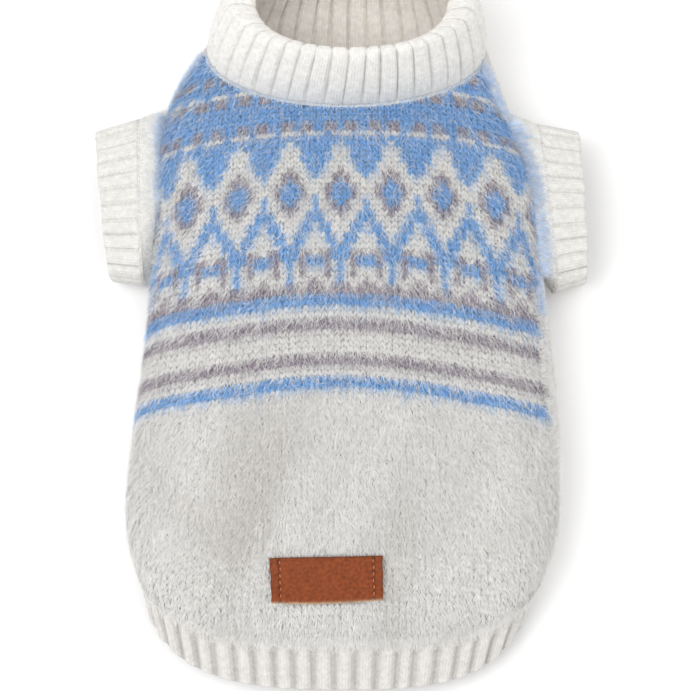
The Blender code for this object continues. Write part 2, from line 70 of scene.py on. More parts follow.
# Soft troughs and ridges: x, y, heading in degrees, length, width and height.
FOLDS = ((-58.0, -92.0, -55.0, 40.0, 13.0, -2.8), (-22.0, -88.0, -68.0, 46.0, 15.0, 1.8),
         (48.0, -86.0, 62.0, 42.0, 16.0, -2.6), (76.0, -58.0, 78.0, 34.0, 11.0, 1.6),
         (-78.0, -38.0, -80.0, 36.0, 10.0, 1.5), (-60.0, 60.0, 55.0, 34.0, 12.0, -1.6),
         (58.0, 66.0, -52.0, 32.0, 12.0, -1.8), (8.0, -40.0, -82.0, 44.0, 20.0, -1.2),
         (30.0, 22.0, 12.0, 50.0, 16.0, 1.0))
SMALL_CREASES = ((-70.0, -74.0, -40.0, 22.0, 6.0, -0.7), (-42.0, -112.0, -72.0, 20.0, 6.0, 0.6),
                 (20.0, -118.0, 84.0, 18.0, 7.0, -0.6), (64.0, -104.0, 50.0, 22.0, 6.0, 0.7),
                 (82.0, -20.0, 84.0, 26.0, 6.0, -0.8), (-86.0, 6.0, -86.0, 24.0, 6.0, -0.7),
                 (-74.0, 88.0, 40.0, 18.0, 5.0, 0.7), (72.0, 92.0, -38.0, 18.0, 5.0, 0.7),
                 (-43.0, -72.0, 78.0, 56.0, 16.0, -1.9), (-19.0, -84.0, 84.0, 26.0, 7.0, 1.0),
                 (23.0, -92.0, 80.0, 34.0, 9.0, -1.1), (56.0, -108.0, 66.0, 26.0, 10.0, -0.8),
                 (-12.0, 30.0, 8.0, 30.0, 9.0, -0.5), (40.0, -12.0, -20.0, 26.0, 8.0, 0.5))


def smooth_step(t, start, stop, start_slope, stop_slope):
    """A place on a smooth curve between two points, with the slopes that it has there."""
    return ((2 * t**3 - 3 * t**2 + 1) * start + (t**3 - 2 * t**2 + t) * start_slope
            + (3 * t**2 - 2 * t**3) * stop + (t**3 - t**2) * stop_slope)


def lengths_along(points):
    """How far along a line each of its points lies."""
    return np.concatenate(([0.0], np.cumsum(np.linalg.norm(np.diff(points, axis=0), axis=1))))


def off_floor(points, gap=0.0):
    """The same points, none of them lower than a gap above the floor."""
    points[..., 2] = np.maximum(points[..., 2], gap)
    return points


def ring_sizes(place):
    """Sizes of the body's ring at a place between two rows, on a smooth curve through them."""
    rows = BODY_RINGS
    lower = int(min(max(math.floor(place), 0), len(rows) - 2))
    t = place - lower
    before = rows[lower - 1] if lower > 0 else 2 * rows[0] - rows[1]
    after = rows[lower + 2] if lower + 2 < len(rows) else 2 * rows[-1] - rows[-2]
    start, stop = rows[lower], rows[lower + 1]
    sizes = smooth_step(t, start, stop, (stop - before) / 2, (after - start) / 2)
    return dict(zip(RING_COLUMNS, sizes))


def quarter(side_x, side, end, power):
    """Dense points from a ring's side to its top or low point."""
    angle = np.pi / 2 * (0.5 - 0.5 * np.cos(np.pi * np.arange(81) / 80))
    out = np.cos(angle) ** (2 / power)
    up = np.sin(angle) ** (2 / power)
    out[-1] = 0.0
    curve = np.column_stack((side_x * out, side[0] + (end[0] - side[0]) * up,
                             side[1] + (end[1] - side[1]) * up))
    return off_floor(curve)


def body_ring(place, around):
    """The smooth body at one ring: 0 is its right side, 1 its top, 2 its left side, 3 its low point."""
    size = ring_sizes(place)
    side, top = (size["side_y"], size["side_z"]), (size["top_y"], size["top_z"])
    low = (size["low_y"], size["low_z"])
    quarters = (quarter(size["right"], side, top, size["top_round"]),
                quarter(-size["left"], side, top, size["top_round"])[::-1],
                quarter(-size["left"], side, low, size["low_round"]),
                quarter(size["right"], side, low, size["low_round"])[::-1])
    around = np.mod(np.asarray(around, float), 4.0)
    points = np.zeros((len(around), 3))
    for number, curve in enumerate(quarters):
        chosen = np.floor(around).astype(int) == number
        length = lengths_along(curve)
        share = (around[chosen] - number) * length[-1]
        points[chosen] = np.column_stack([np.interp(share, length, curve[:, a]) for a in range(3)])
    return points


def unit(vectors):
    """The same directions at length 1."""
    return vectors / np.maximum(np.linalg.norm(vectors, axis=-1, keepdims=True), 1e-9)


def normals_of(surface, place, around):
    """Ways straight off the body or its folds at places round one ring."""
    along = surface(place + 0.03, around) - surface(place - 0.03, around)
    round_ring = surface(place, around + 0.03) - surface(place, around - 0.03)
    return -unit(np.cross(round_ring, along))


def turned(points, middle, heading):
    """Places of points along and across a line through a middle, at a heading in degrees."""
    turn = math.radians(heading)
    dx, dy = points[:, 0] - middle[0], points[:, 1] - middle[1]
    return dx * math.cos(turn) + dy * math.sin(turn), dy * math.cos(turn) - dx * math.sin(turn)


def crease_height(points, creases):
    """How far soft troughs and ridges move the cloth off the body at each point."""
    height = np.zeros(len(points))
    for x, y, heading, length, width, tall in creases:
        along, across = turned(points, (x, y), heading)
        height += tall * np.exp(-(along / length)**2 - (across / width)**2)
    return height


def body_outer(place, around):
    """The body's outer surface with its soft folds."""
    around = np.asarray(around, float)
    points = body_ring(place, around)
    normals = normals_of(body_ring, place, around)
    upper = np.clip(normals[:, 2] * 2.0, 0.0, 1.0)
    ends = min(max((place - HEM_SEAM) / 1.5, 0.0), 1.0) * min(max((NECK - place) / 1.5, 0.0), 1.0)
    height = crease_height(points, FOLDS) * ends + crease_height(points, SMALL_CREASES) * ends
    return points + normals * (height * upper)[:, None]


def edge_places(place, piece):
    """Places round a ring of the two side edges of the back or the belly."""
    wide = math.sqrt(max(1.0 - ((place - ARMHOLE_MIDDLE) / ARMHOLE_HALF)**2, 0.0))
    size = ring_sizes(place)
    right, left = size["right_seam"], size["left_seam"]
    if piece == "back":
        return (right + (ARMHOLE_BACK["right"] - right) * wide,
                left + (ARMHOLE_BACK["left"] - left) * wide)
    return (left + (ARMHOLE_BELLY["left"] - left) * wide,
            4.0 + right + (ARMHOLE_BELLY["right"] - 4.0 - right) * wide)


def side_edge(places, piece, column):
    """Points and normals up a side edge of the back or belly, and its places round the rings."""
    around = [np.array([edge_places(place, piece)[column]]) for place in places]
    points = [body_outer(place, at)[0] for place, at in zip(places, around)]
    normals = [normals_of(body_outer, place, at)[0] for place, at in zip(places, around)]
    return np.array(points), np.array(normals), around


WALE = 2.835            # one column of stitches
COURSE = 2.64           # one row of stitches
MAP_STEP, MAP_REACH = 0.7, 132.0
WALES_SPREAD, SPREAD_FROM = 5.0, 70.0
# How the rows lie: y, how far they are shifted there, their sag at the sides and their tilt.
ROW_LIE = np.array([(-23.0, 0.1, 9.5, 0.014), (-11.0, 0.9, 8.8, 0.016), (5.0, 0.9, 7.6, 0.016),
                    (16.0, 0.3, 6.8, 0.014), (66.0, 1.3, 3.1, -0.008)]).T


def knit_across(distance):
    """Flat place of a point so far round the body: the wales spread a little over the shoulders."""
    return distance - np.sign(distance) * WALES_SPREAD * (1.0 - np.exp(-(distance / SPREAD_FROM)**4))


def knit_along(x, y):
    """Flat place of a point up the body: the rows sag towards both sides, least at the yoke."""
    shift, sag, tilt = (np.interp(y, ROW_LIE[0], column) for column in ROW_LIE[1:])
    yoke = np.interp(y, (16.0, 66.0), (0.0, 1.0))
    sag = sag * (1.0 - (1.0 - yoke) * np.exp(-(x / 62.0)**2) - yoke * np.exp(-(x / 60.0)**4))
    return y + shift + sag + tilt * x


def knit_map(piece, first, last, middle, outward):
    """The cloth of the back or belly as a grid over its flat knit: across in wales, along in courses."""
    places = np.concatenate((np.linspace(0.75, 1.5, 30)[:-1], np.linspace(1.5, 10.1, 190)))
    around = np.linspace(first, last, 260)
    points = np.array([body_outer(place, around) for place in places])
    length = np.cumsum(np.linalg.norm(np.diff(points, axis=1), axis=2), axis=1)
    length = np.concatenate((np.zeros((len(places), 1)), length), axis=1)
    across = length - np.array([np.interp(middle, around, row) for row in length])[:, None]
    if outward > 0:
        across, points, around = -across[:, ::-1], points[:, ::-1], around[::-1]
    across = knit_across(across)
    lines = np.arange(-MAP_REACH, MAP_REACH, MAP_STEP)
    fields = np.zeros((len(places), len(lines), 5))
    for row in range(len(places)):
        for axis in range(3):
            fields[row, :, axis] = np.interp(lines, across[row], points[row, :, axis])
        fields[row, :, 3] = np.interp(lines, across[row], around)
    fields[:, :, 4] = places[:, None]
    reach = (lines[None, :] > across[:, :1]) & (lines[None, :] < across[:, -1:])
    rows_at = knit_along(fields[:, :, 0], fields[:, :, 1])
    courses = np.arange(rows_at.min(), rows_at.max(), MAP_STEP)
    cloth = np.zeros((len(lines), len(courses), 5))
    inside = np.zeros((len(lines), len(courses)))
    edges = np.array([edge_places(place, piece) for place in places])
    for column in range(len(lines)):
        for field in range(5):
            cloth[column, :, field] = np.interp(courses, rows_at[:, column], fields[:, column, field])
        place = cloth[column, :, 4]
        low_edge, high_edge = (np.interp(place, places, edges[:, side]) for side in (0, 1))
        at = cloth[column, :, 3]
        shown = (at > low_edge) & (at < high_edge) & (place > HEM_SEAM) & (place < NECK)
        inside[column] = shown & (np.interp(place, places, reach[:, column].astype(float)) > 0.99)
    normal = outward * unit(np.cross(np.gradient(cloth[:, :, :3], axis=0),
                                     np.gradient(cloth[:, :, :3], axis=1)))
    return {"points": cloth[:, :, :3], "normals": normal, "inside": inside,
            "across": lines, "along": courses}


def grid_values(grid, i, j):
    """Values of a grid between its rows and columns."""
    i0, j0 = i.astype(int), j.astype(int)
    u, v = i - i0, j - j0
    if grid.ndim == 3:
        u, v = u[..., None], v[..., None]
    return (grid[i0, j0] * (1 - u) * (1 - v) + grid[i0 + 1, j0] * u * (1 - v)
            + grid[i0, j0 + 1] * (1 - u) * v + grid[i0 + 1, j0 + 1] * u * v)


def look_up(grid, cloth, across, along):
    """Values of a grid of the cloth at any wales and courses, in millimetres of flat knit."""
    i = np.clip((across - cloth["across"][0]) / MAP_STEP, 0, len(cloth["across"]) - 1.001)
    j = np.clip((along - cloth["along"][0]) / MAP_STEP, 0, len(cloth["along"]) - 1.001)
    return grid_values(grid, i, j)


def on_cloth(cloth, across, along, height):
    """Points at a height off the cloth."""
    normal = unit(look_up(cloth["normals"], cloth, across, along))
    return look_up(cloth["points"], cloth, across, along) + normal * height[..., None]


# The yoke's chart, from its top row down. Each row has the stitches from a diamond's middle to the
# middle between two diamonds, and is mirrored both ways: w white, b blue, g mauve grey. A row of
# points is dotted in mauve grey on blue, with two dots to every seven stitches.
CHART_TOP = 90.8        # where row 0 lies
CHART_FIRST_ROW = -16
DOTTED_WALES = (1, 2, 5, 6)
WALE_SHIFT = 0.75       # how far the diamonds' middle wale lies to the left of the body's middle
CHART = ("bbbbb", ".....", ".....", "bbbbb", "bbbbb", "wwbww", ".....", ".....", "bbbbb", "bbbbb",
         "bbbbb", "bbbbb", ".....", ".....", "wwbww", "bbbbb", "wbbbb", "wwbbb", "wwbbb", "wwbbb",
         "wwwbb", "gwwbb", "ggwwb", "bgwww", "bbgww", "bbgww", "bbgwb", "bgwwb", "ggwwb", "gwwbb",
         "wwwbb", "wwbbw", "wwbbw", "wbbww", "wbbww", "bbwww", "bbggw", "bbgbb", "bwgbb", "bwgww",
         "bwgww", "bwwwg", "ggwgg", "ggggg", "bbbbb", "bbbbb", "wwwww", "wwwww", "ggggg", "ggggg",
         "wwwww", "wwwww", "wwwww", "wwwww", "ggggg", "ggggg", "wwwww", "wwwww", "bbbbb", "bbbbb")


def screen_colour(red, green, blue):
    """A linear colour from its 0 to 255 screen values."""
    return np.array([(value / 255 / 12.92) if value < 10 else ((value / 255 + 0.055) / 1.055)**2.4
                     for value in (red, green, blue)])


YARN = {"w": screen_colour(234, 233, 231), "b": screen_colour(125, 175, 229),
        "g": screen_colour(162, 152, 164)}
DYED_BELOW = 0.7        # the red of a dyed yarn is lower than this
STRAND_SHADES = (0.62, 1.45)
PALER_BLUE, PALER_GREY = 0.17, 0.34
# Painted shade on the cloth under the stitches, which shows between them: deepest in the yoke, faint at the
# side edges.
PAINTED_GAP_SHADE_PLAIN, PAINTED_GAP_SHADE_YOKE, PAINTED_GAP_SHADE_EDGE = 0.8, 0.5, 0.95
YARN_CODES = np.array([YARN["w"], YARN["b"], YARN["g"]])
CHART_CODES = np.array([["wbg.".index(stitch) for stitch in row] for row in CHART])


def stitch_colour(across, along):
    """Yarn colours of the stitches at places on the flat back."""
    wale = np.floor(across / WALE + 0.5 + WALE_SHIFT).astype(int)
    row = np.floor((CHART_TOP - along) / COURSE + 0.5).astype(int) - CHART_FIRST_ROW
    column = np.abs(np.mod(wale + 4, 8) - 4)
    code = CHART_CODES[np.clip(row, 0, len(CHART) - 1), column]
    code = np.where(code == 3, np.where(np.isin(np.mod(wale, 7), DOTTED_WALES), 2, 1), code)
    code = np.where(row >= len(CHART), 0, code)
    return YARN_CODES[code]


def strand_colours(across, along, chance):
    """Colours of loose strands: uneven in the dyed yarns, with white strands brushed among them."""
    colours = stitch_colour(across, along)
    count = len(colours)
    dyed = colours[:, 0] < DYED_BELOW
    grey = dyed & (colours[:, 2] < colours[:, 0] * 1.3)
    shade = np.where(dyed, chance.uniform(*STRAND_SHADES, count), chance.normal(1.0, 0.05, count))
    colours = np.clip(colours * shade[:, None], 0.0, 0.95)
    paler = chance.random(count) < np.where(grey, PALER_GREY, np.where(dyed, PALER_BLUE, 0.0))
    return np.where(paler[:, None], YARN["w"] * 0.96, colours)


def plain_part(along):
    """True below the yoke's last stripe."""
    return along < CHART_TOP - (len(CHART) + CHART_FIRST_ROW) * COURSE


def place_mesh(name, points, corners, sizes=None):
    """A new object from points in millimetres and the corners of its faces, which are quads or sizes."""
    points, corners = points.reshape(-1, 3), corners.ravel()
    if sizes is None:
        sizes = np.full(len(corners) // 4, 4)
    mesh = bpy.data.meshes.new(name)
    mesh.vertices.add(len(points))
    mesh.vertices.foreach_set("co", ((points - FOOTPRINT_MIDDLE) * 0.001).astype(np.float32).ravel())
    mesh.loops.add(len(corners))
    mesh.loops.foreach_set("vertex_index", corners.astype(np.int32))
    mesh.polygons.add(len(sizes))
    starts = np.concatenate(([0], np.cumsum(sizes)[:-1]))
    mesh.polygons.foreach_set("loop_start", starts.astype(np.int32))
    mesh.update(calc_edges=True)
    mesh.validate()
    mesh.polygons.foreach_set("use_smooth", np.ones(len(mesh.polygons), bool))
    piece = bpy.data.objects.new(name, mesh)
    bpy.context.scene.collection.objects.link(piece)
    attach(piece, "root")
    return piece


def tint(piece, colours):
    """Give each point of a piece its own yarn colour."""
    layer = piece.data.color_attributes.new("yarn", "BYTE_COLOR", "POINT")
    shown = np.ones((len(colours), 4), np.float32)
    shown[:, :3] = np.clip(colours, 0.0, 1.0)
    layer.data.foreach_set("color", shown.ravel())


def lay_flat_map(piece, flat, wrap=0.0):
    """A UV map in stitches, from the flat place of each point; a tube's last quads wrap round it."""
    corner = np.zeros(len(piece.data.loops), np.int32)
    piece.data.loops.foreach_get("vertex_index", corner)
    flat = flat.reshape(-1, 2)[corner].reshape(-1, 4, 2)
    if wrap:
        low = flat[:, :, 0] < flat[:, :, 0].max(axis=1, keepdims=True) - wrap / 2
        flat[:, :, 0] += np.where(low, wrap, 0.0)
    layer = piece.data.uv_layers.new(name="knit")
    layer.data.foreach_set("uv", flat.astype(np.float32).ravel())


def shell(name, face, back, flat):
    """A cloth wall: a grid of its face and a grid of its back, joined round their four edges."""
    rows, columns = face.shape[:2]
    number = np.arange(rows * columns).reshape(rows, columns)
    quads = np.stack((number[:-1, :-1], number[1:, :-1], number[1:, 1:], number[:-1, 1:]), -1)
    quads = quads.reshape(-1, 4)
    under = quads[:, ::-1] + rows * columns
    border = np.concatenate((number[0, :-1], number[:-1, -1], number[-1, :0:-1], number[:0:-1, 0]))
    following = np.roll(border, -1)
    rim = np.stack((border, following, following + rows * columns, border + rows * columns), -1)
    piece = place_mesh(name, np.stack((face, back)), np.concatenate((quads, under, rim)))
    lay_flat_map(piece, np.stack((flat, flat)))
    return piece


def panel(name, piece, rows, columns, depth, colour_of, outward):
    """The cloth of the back or belly between its seams, a little below the stitches' tops."""
    turn = np.linspace(0.0, np.pi, 44)
    places = np.concatenate((np.linspace(HEM_SEAM, ARMHOLE_START, rows)[:-1],
                             ARMHOLE_MIDDLE - ARMHOLE_HALF * np.cos(turn),
                             np.linspace(ARMHOLE_END, NECK, 14)[1:]))
    face, back, flat = [], [], []
    for place in places:
        first, last = edge_places(place, piece)
        around = np.linspace(first, last, columns + 1)
        outer = body_outer(place, around)
        normal = normals_of(body_outer, place, around)
        face.append(outer - normal * depth)
        back.append(outer - normal * KNIT_WALL)
        length = lengths_along(outer)
        zero = np.interp(1.0 if outward > 0 else 3.0, around, length)
        flat.append(np.column_stack((knit_across((zero - length) * outward) / WALE,
                                     knit_along(outer[:, 0], outer[:, 1]) / COURSE)))
    flat = np.array(flat)
    made = shell(name, off_floor(np.array(face)), np.array(back), flat)
    colours = colour_of(flat[:, :, 0].ravel() * WALE, flat[:, :, 1].ravel() * COURSE)
    # Painted shade between the stitches on the back's ground; the belly's ground has none.
    shade = np.where(plain_part(flat[:, :, 1] * COURSE), PAINTED_GAP_SHADE_PLAIN, PAINTED_GAP_SHADE_YOKE)
    shade[:, :3] = shade[:, -3:] = PAINTED_GAP_SHADE_EDGE
    if piece == "belly":
        shade[:] = 1.0
    tint(made, np.concatenate((colours * shade.reshape(-1, 1), colours * 0.9)))
    return made


def knit_group():
    """A node group with the relief of plain knit over a map in stitches: 1 on the legs, 0 in the gaps."""
    group = bpy.data.node_groups.new("knit relief", "ShaderNodeTree")
    group.interface.new_socket(name="Stitches", in_out="INPUT", socket_type="NodeSocketVector")
    group.interface.new_socket(name="Height", in_out="OUTPUT", socket_type="NodeSocketFloat")
    nodes, links = group.nodes, group.links
    start, end = nodes.new("NodeGroupInput"), nodes.new("NodeGroupOutput")
    apart = nodes.new("ShaderNodeSeparateXYZ")
    links.new(start.outputs[0], apart.inputs[0])

    def sum_of(kind, a, b=None):
        node = nodes.new("ShaderNodeMath")
        node.operation = kind
        for socket, value in zip(node.inputs, (a, b)):
            if isinstance(value, (int, float)):
                socket.default_value = value
            elif value is not None:
                links.new(value, socket)
        return node.outputs[0]

    side = sum_of("SUBTRACT", sum_of("FRACT", apart.outputs[0]), 0.5)
    out = sum_of("ABSOLUTE", side)
    leg = sum_of("FRACT", sum_of("SUBTRACT", apart.outputs[1], sum_of("MULTIPLY", out, 1.9)))
    along = sum_of("SINE", sum_of("MULTIPLY", leg, math.pi))
    across = sum_of("SINE", sum_of("MULTIPLY", out, 2 * math.pi))
    links.new(sum_of("MULTIPLY", sum_of("POWER", along, 0.5), sum_of("POWER", across, 0.5)),
              end.inputs[0])
    return group


def fill_sockets(tree, node, inputs):
    """Set a node's inputs by name, or link those that are given another node's output."""
    for name, value in inputs.items():
        if isinstance(value, bpy.types.NodeSocket):
            tree.links.new(value, node.inputs[name])
        else:
            node.inputs[name].default_value = value


def add_node(tree, kind, inputs=None, **settings):
    """A new shader node with its settings and inputs."""
    node = tree.nodes.new("ShaderNode" + kind)
    for name, value in settings.items():
        setattr(node, name, value)
    fill_sockets(tree, node, inputs or {})
    return node


def yarn_material(name, knit_depth=0.0, sheen=0.25, fibre=0.5, colour=None):
    """Soft acrylic yarn, mottled and fibrous, in its own colour or in its points' colours."""
    material = bpy.data.materials.new(name)
    material.use_nodes = True
    tree = material.node_tree
    place = add_node(tree, "TexCoord").outputs["Object"]
    mottle = add_node(tree, "TexNoise", {"Vector": place, "Scale": 420.0, "Detail": 4.0})
    strength = add_node(tree, "MapRange", {
        "Value": mottle.outputs["Fac"], "From Min": 0.3, "From Max": 0.7, "To Min": 0.88, "To Max": 1.05})
    if colour is None:
        dyed = add_node(tree, "Attribute", attribute_name="yarn").outputs["Color"]
    else:
        dyed = (*colour, 1.0)
    shade = add_node(tree, "Mix", data_type="RGBA", blend_type="MULTIPLY", inputs={
        "Factor": 1.0, "A": dyed, "B": strength.outputs["Result"]})
    fibres = add_node(tree, "TexNoise", {"Vector": place, "Scale": 2600.0, "Detail": 3.0})
    bump = add_node(tree, "Bump", {
        "Strength": fibre, "Distance": 0.0003, "Height": fibres.outputs["Fac"]})
    if knit_depth:
        flat = add_node(tree, "UVMap", uv_map="knit")
        relief = add_node(tree, "Group", {"Stitches": flat.outputs["UV"]}, node_tree=knit_relief)
        bump = add_node(tree, "Bump", {
            "Strength": 1.0, "Distance": knit_depth, "Height": relief.outputs["Height"],
            "Normal": bump.outputs["Normal"]})
    fill_sockets(tree, tree.nodes["Principled BSDF"], {
        "Base Color": shade.outputs["Result"], "Roughness": 0.92, "Specular IOR Level": 0.18,
        "Sheen Weight": sheen, "Sheen Roughness": 0.6, "Normal": bump.outputs["Normal"]})
    return material


knit_relief = knit_group()
back_map = knit_map("back", -0.35, 2.45, 1.0, 1.0)
back_cloth = panel("back_cloth", "back", 76, 84, 1.1, stitch_colour, 1.0)
back_cloth.data.materials.append(yarn_material("back knit ground", 0.0006))
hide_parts("back_panel")

# ---- Back: its stitches ---------------------------------------------------------------------------
# The face of plain knit: each stitch is a V of two yarn legs, in the yarn that the chart gives.
# Legs are plump in the middle and tuck under the next row.
LEG = np.array([(0.05, -0.20, 0.10, 0.10), (0.16, 0.12, 0.80, 0.20), (0.30, 0.48, 1.00, 0.22),
                (0.42, 0.86, 0.25, 0.12)])      # across, along, height share, half-width, in stitches
STITCH_BASE, STITCH_TALL = -1.25, 1.1
# In part of the stitches the gap between the legs is deep and gets painted shade: their share and the
# painted shades.
DEEP_PLAIN, DEEP_DYED, DEEP_WHITE = 0.6, 0.8, 0.5
DEEP_SHADES, SHALLOW_SHADE = (0.2, 0.5), 0.92


def leg_strips(name, points):
    """Stitch legs as crowned strips, each of four stations by three lines of points."""
    number = np.arange(points.size // 3).reshape(-1, 4, 3)
    quads = (number[:, :-1, :-1], number[:, :-1, 1:], number[:, 1:, 1:], number[:, 1:, :-1])
    return place_mesh(name, points, np.stack(quads, -1))


def knit_face(name, cloth, base, tall, colour_of, seed):
    """All stitches of a cloth, each a pair of legs with its own tone, and painted shade at the leg ends and
    between the legs.
    """
    chance = np.random.default_rng(seed)
    wales = np.arange(-48, 49)
    rows = np.arange(int(cloth["along"][0] / COURSE) - 1, int(cloth["along"][-1] / COURSE) + 2)
    wale, row = (grid.ravel() for grid in np.meshgrid(wales, rows, indexing="ij"))
    across = (wale - WALE_SHIFT) * WALE
    along = CHART_TOP % COURSE + row * COURSE
    inside = look_up(cloth["inside"], cloth, across, along) > 0.6
    inside &= (across > cloth["across"][0]) & (along > cloth["along"][0])
    inside &= (across < cloth["across"][-1]) & (along < cloth["along"][-1])
    across, along = across[inside], along[inside]
    count = len(across)
    colours = colour_of(across, along)
    points = np.zeros((count, 2, 4, 3, 3))
    for leg, side in enumerate((-1.0, 1.0)):
        plump = 1.0 + chance.normal(0.0, 0.10, count)
        lean = chance.normal(0.0, 0.03, count)
        rise = chance.normal(0.0, 0.05, count)
        for station, (out, up, high, half) in enumerate(LEG):
            for line, offset in enumerate((-1.0, 0.0, 1.0)):
                u = side * (out + lean + offset * half * 0.92 * plump)
                v = up + rise - offset * half * 0.45 - 0.3
                height = base + tall * plump * (high if offset == 0.0 else high * 0.35 - 0.12)
                points[:, leg, station, line] = on_cloth(cloth, across + u * WALE,
                                                         along + v * COURSE, height * np.ones(count))
        if side < 0:
            points[:, leg] = points[:, leg, :, ::-1]
    piece = leg_strips(name, points)
    shade = chance.normal(1.0, 0.05, (count, 2, 1, 1)) * np.ones((count, 2, 4, 3))
    # Painted shade at both ends of each leg, where it tucks under the rows beside it.
    shade[:, :, 0] *= 0.8
    shade[:, :, 3] *= 0.9
    # Painted shade on the inner edges of the legs, in the gap between them, for part of the stitches.
    yoke = np.where(colours[:, 0] < DYED_BELOW, DEEP_DYED, DEEP_WHITE)
    deep = chance.random(count) < np.where(plain_part(along), DEEP_PLAIN, yoke)
    sunk = np.where(deep, chance.uniform(*DEEP_SHADES, count), SHALLOW_SHADE)[:, None]
    shade[:, 0, :, 2] *= sunk
    shade[:, 1, :, 0] *= sunk
    tint(piece, np.repeat(colours, 24, axis=0) * shade.reshape(-1, 1))
    return piece


back_stitches = knit_face("back_stitches", back_map, STITCH_BASE, STITCH_TALL, stitch_colour, 11)
back_stitches.data.materials.append(yarn_material("back yarn"))

# ---- Back: its nap --------------------------------------------------------------------------------
# The face is brushed: long fine fibres stand off every stitch and lie towards the hem, in loose
# locks. Each is a slim blade of its own stitch's colour, and some stand out over the seams.
LABEL_CENTRE = (-8.0, -106.0)
LABEL_LENGTH, LABEL_WIDTH, LABEL_TURN = 49.5, 19.5, 1.4
# Layers of the nap: length, lift and width of the fibres, and the bare hole in each stitch.
NAP_LAYERS = ((2.4, 0.45, 0.18, 0.32), (3.4, 0.65, 0.15, 0.26), (5.0, 1.0, 0.13, 0.0))
# Painted shade on the nap in the troughs of the small creases, for each millimetre of depth.
CREASE_PAINTED_SHADE = np.array([0.075, 0.083, 0.092])
FIBRES_IN_HOLES, TAIL_FIBRES_IN_HOLES, TAIL_LONGER = 0.15, 0.3, 1.5
# Headings in degrees: towards the hem, fanned out by the millimetre, and turned by locks and chance.
HEADING, FANNED, LOCK_TURN, CHANCE_TURN = -90.0, 0.20, 26.0, 24.0


def lock_field(across, along):
    """A slow, uneven drift of the nap, from -1 to 1."""
    return (0.45 * np.sin(across * 0.21 + 1.3 * np.sin(along * 0.13))
            + 0.35 * np.sin(across * 0.53 - along * 0.31 + 0.9)
            + 0.20 * np.sin(across * 1.10 + along * 0.83))


def blades(name, roots, middles, tips, half_width, colours):
    """Slim fibres kept off the floor, each of one quad and one triangle from its root to its tip."""
    points = np.stack((roots - half_width, roots + half_width,
                       middles - half_width, middles + half_width, tips), axis=1)
    corners = (np.arange(len(roots)) * 5)[:, None] + np.array([0, 1, 3, 2, 2, 3, 4])
    piece = place_mesh(name, off_floor(points, 0.05), corners, np.tile([4, 3], len(roots)))
    tint(piece, np.repeat(colours, 5, axis=0))
    piece.data.materials.append(nap_yarn)
    return piece


def nap(name, cloth, count, seed, colour_of, long, lift, width, holes=0.0):
    """Fibres rooted all over a cloth, fewer in the holes between stitches and short by the patch."""
    chance = np.random.default_rng(seed)
    across = chance.uniform(cloth["across"][0], cloth["across"][-1], count * 3)
    along = chance.uniform(cloth["along"][0], cloth["along"][-1], count * 3)
    inside = look_up(cloth["inside"], cloth, across, along) > 0.95
    root = look_up(cloth["points"], cloth, across, along)
    label_x, label_y = turned(root, LABEL_CENTRE, LABEL_TURN)
    if cloth is back_map:
        inside &= (np.abs(label_x) > LABEL_LENGTH / 2 + 0.4) | (np.abs(label_y) > LABEL_WIDTH / 2 + 0.4)
    hole_x = np.mod(across / WALE + WALE_SHIFT + 0.5, 1.0) - 0.5
    hole_y = np.mod((along - CHART_TOP) / COURSE + 0.15, 1.0) - 0.5
    spare = np.full(len(across), FIBRES_IN_HOLES)
    if cloth is back_map:
        spare[plain_part(along)] = TAIL_FIBRES_IN_HOLES
    inside &= (hole_x**2 + hole_y**2 > holes**2) | (chance.random(len(across)) < spare)
    across, along = across[inside][:count], along[inside][:count]
    label_x, label_y = label_x[inside][:count], label_y[inside][:count]
    count = len(across)
    drift = lock_field(across, along)
    heading = np.radians(HEADING + across * FANNED + LOCK_TURN * drift
                         + chance.normal(0.0, CHANCE_TURN, count))
    length = long * np.exp(chance.normal(0.0, 0.35, count))
    if cloth is back_map:
        length = length * np.where(plain_part(along), TAIL_LONGER, 1.0)
        above = (np.abs(label_x) < LABEL_LENGTH / 2 + 1) & (label_y > 0)
        room = np.maximum(label_y - LABEL_WIDTH / 2, 0) + 1.2
        length = np.where(above, np.minimum(length, room), length)
        beside = (np.abs(label_y) < LABEL_WIDTH / 2 + 4) & ~above
        length = np.where(beside, np.minimum(length, 3.0), length)
    bend = chance.normal(0.0, 0.5, count)
    height = lift * (0.6 + 0.8 * chance.random(count)) * np.minimum(length / long + 0.2, 1.2)
    tip_height = height * chance.uniform(0.4, 1.9, count)
    reach = length * 0.52
    mid_across = across + np.cos(heading) * reach
    mid_along = along + np.sin(heading) * reach
    tip_across = mid_across + np.cos(heading + bend) * reach
    tip_along = mid_along + np.sin(heading + bend) * reach
    roots = on_cloth(cloth, across, along, np.full(count, -0.5))
    tips = on_cloth(cloth, tip_across, tip_along, tip_height)
    normal = unit(look_up(cloth["normals"], cloth, across, along))
    roll = chance.uniform(-0.7, 0.7, count)[:, None]
    side = unit(np.cross(tips - roots, normal))
    side = unit(side * np.cos(roll) + normal * np.sin(roll))
    thick = width * chance.uniform(0.6, 1.3, count)[:, None]
    across, along = across + chance.normal(0, 0.6, count), along + chance.normal(0, 0.7, count)
    if cloth is back_map:
        clouds = 1.0 + 0.04 * lock_field(across * 0.45 + 7.0, along * 0.38) * plain_part(along)
        # Painted shade: the nap is darker in the troughs of the small creases.
        sunk = np.minimum(crease_height(roots, SMALL_CREASES), 0.0) * plain_part(along)
        shade = clouds[:, None] + sunk[:, None] * CREASE_PAINTED_SHADE
        colours = strand_colours(across, along, chance) * shade
    else:
        colours = colour_of(across, along) * chance.normal(1.0, 0.06, (count, 1))
    middles = on_cloth(cloth, mid_across, mid_along, height)
    return blades(name, roots, middles, tips, side * thick * 0.5, colours)


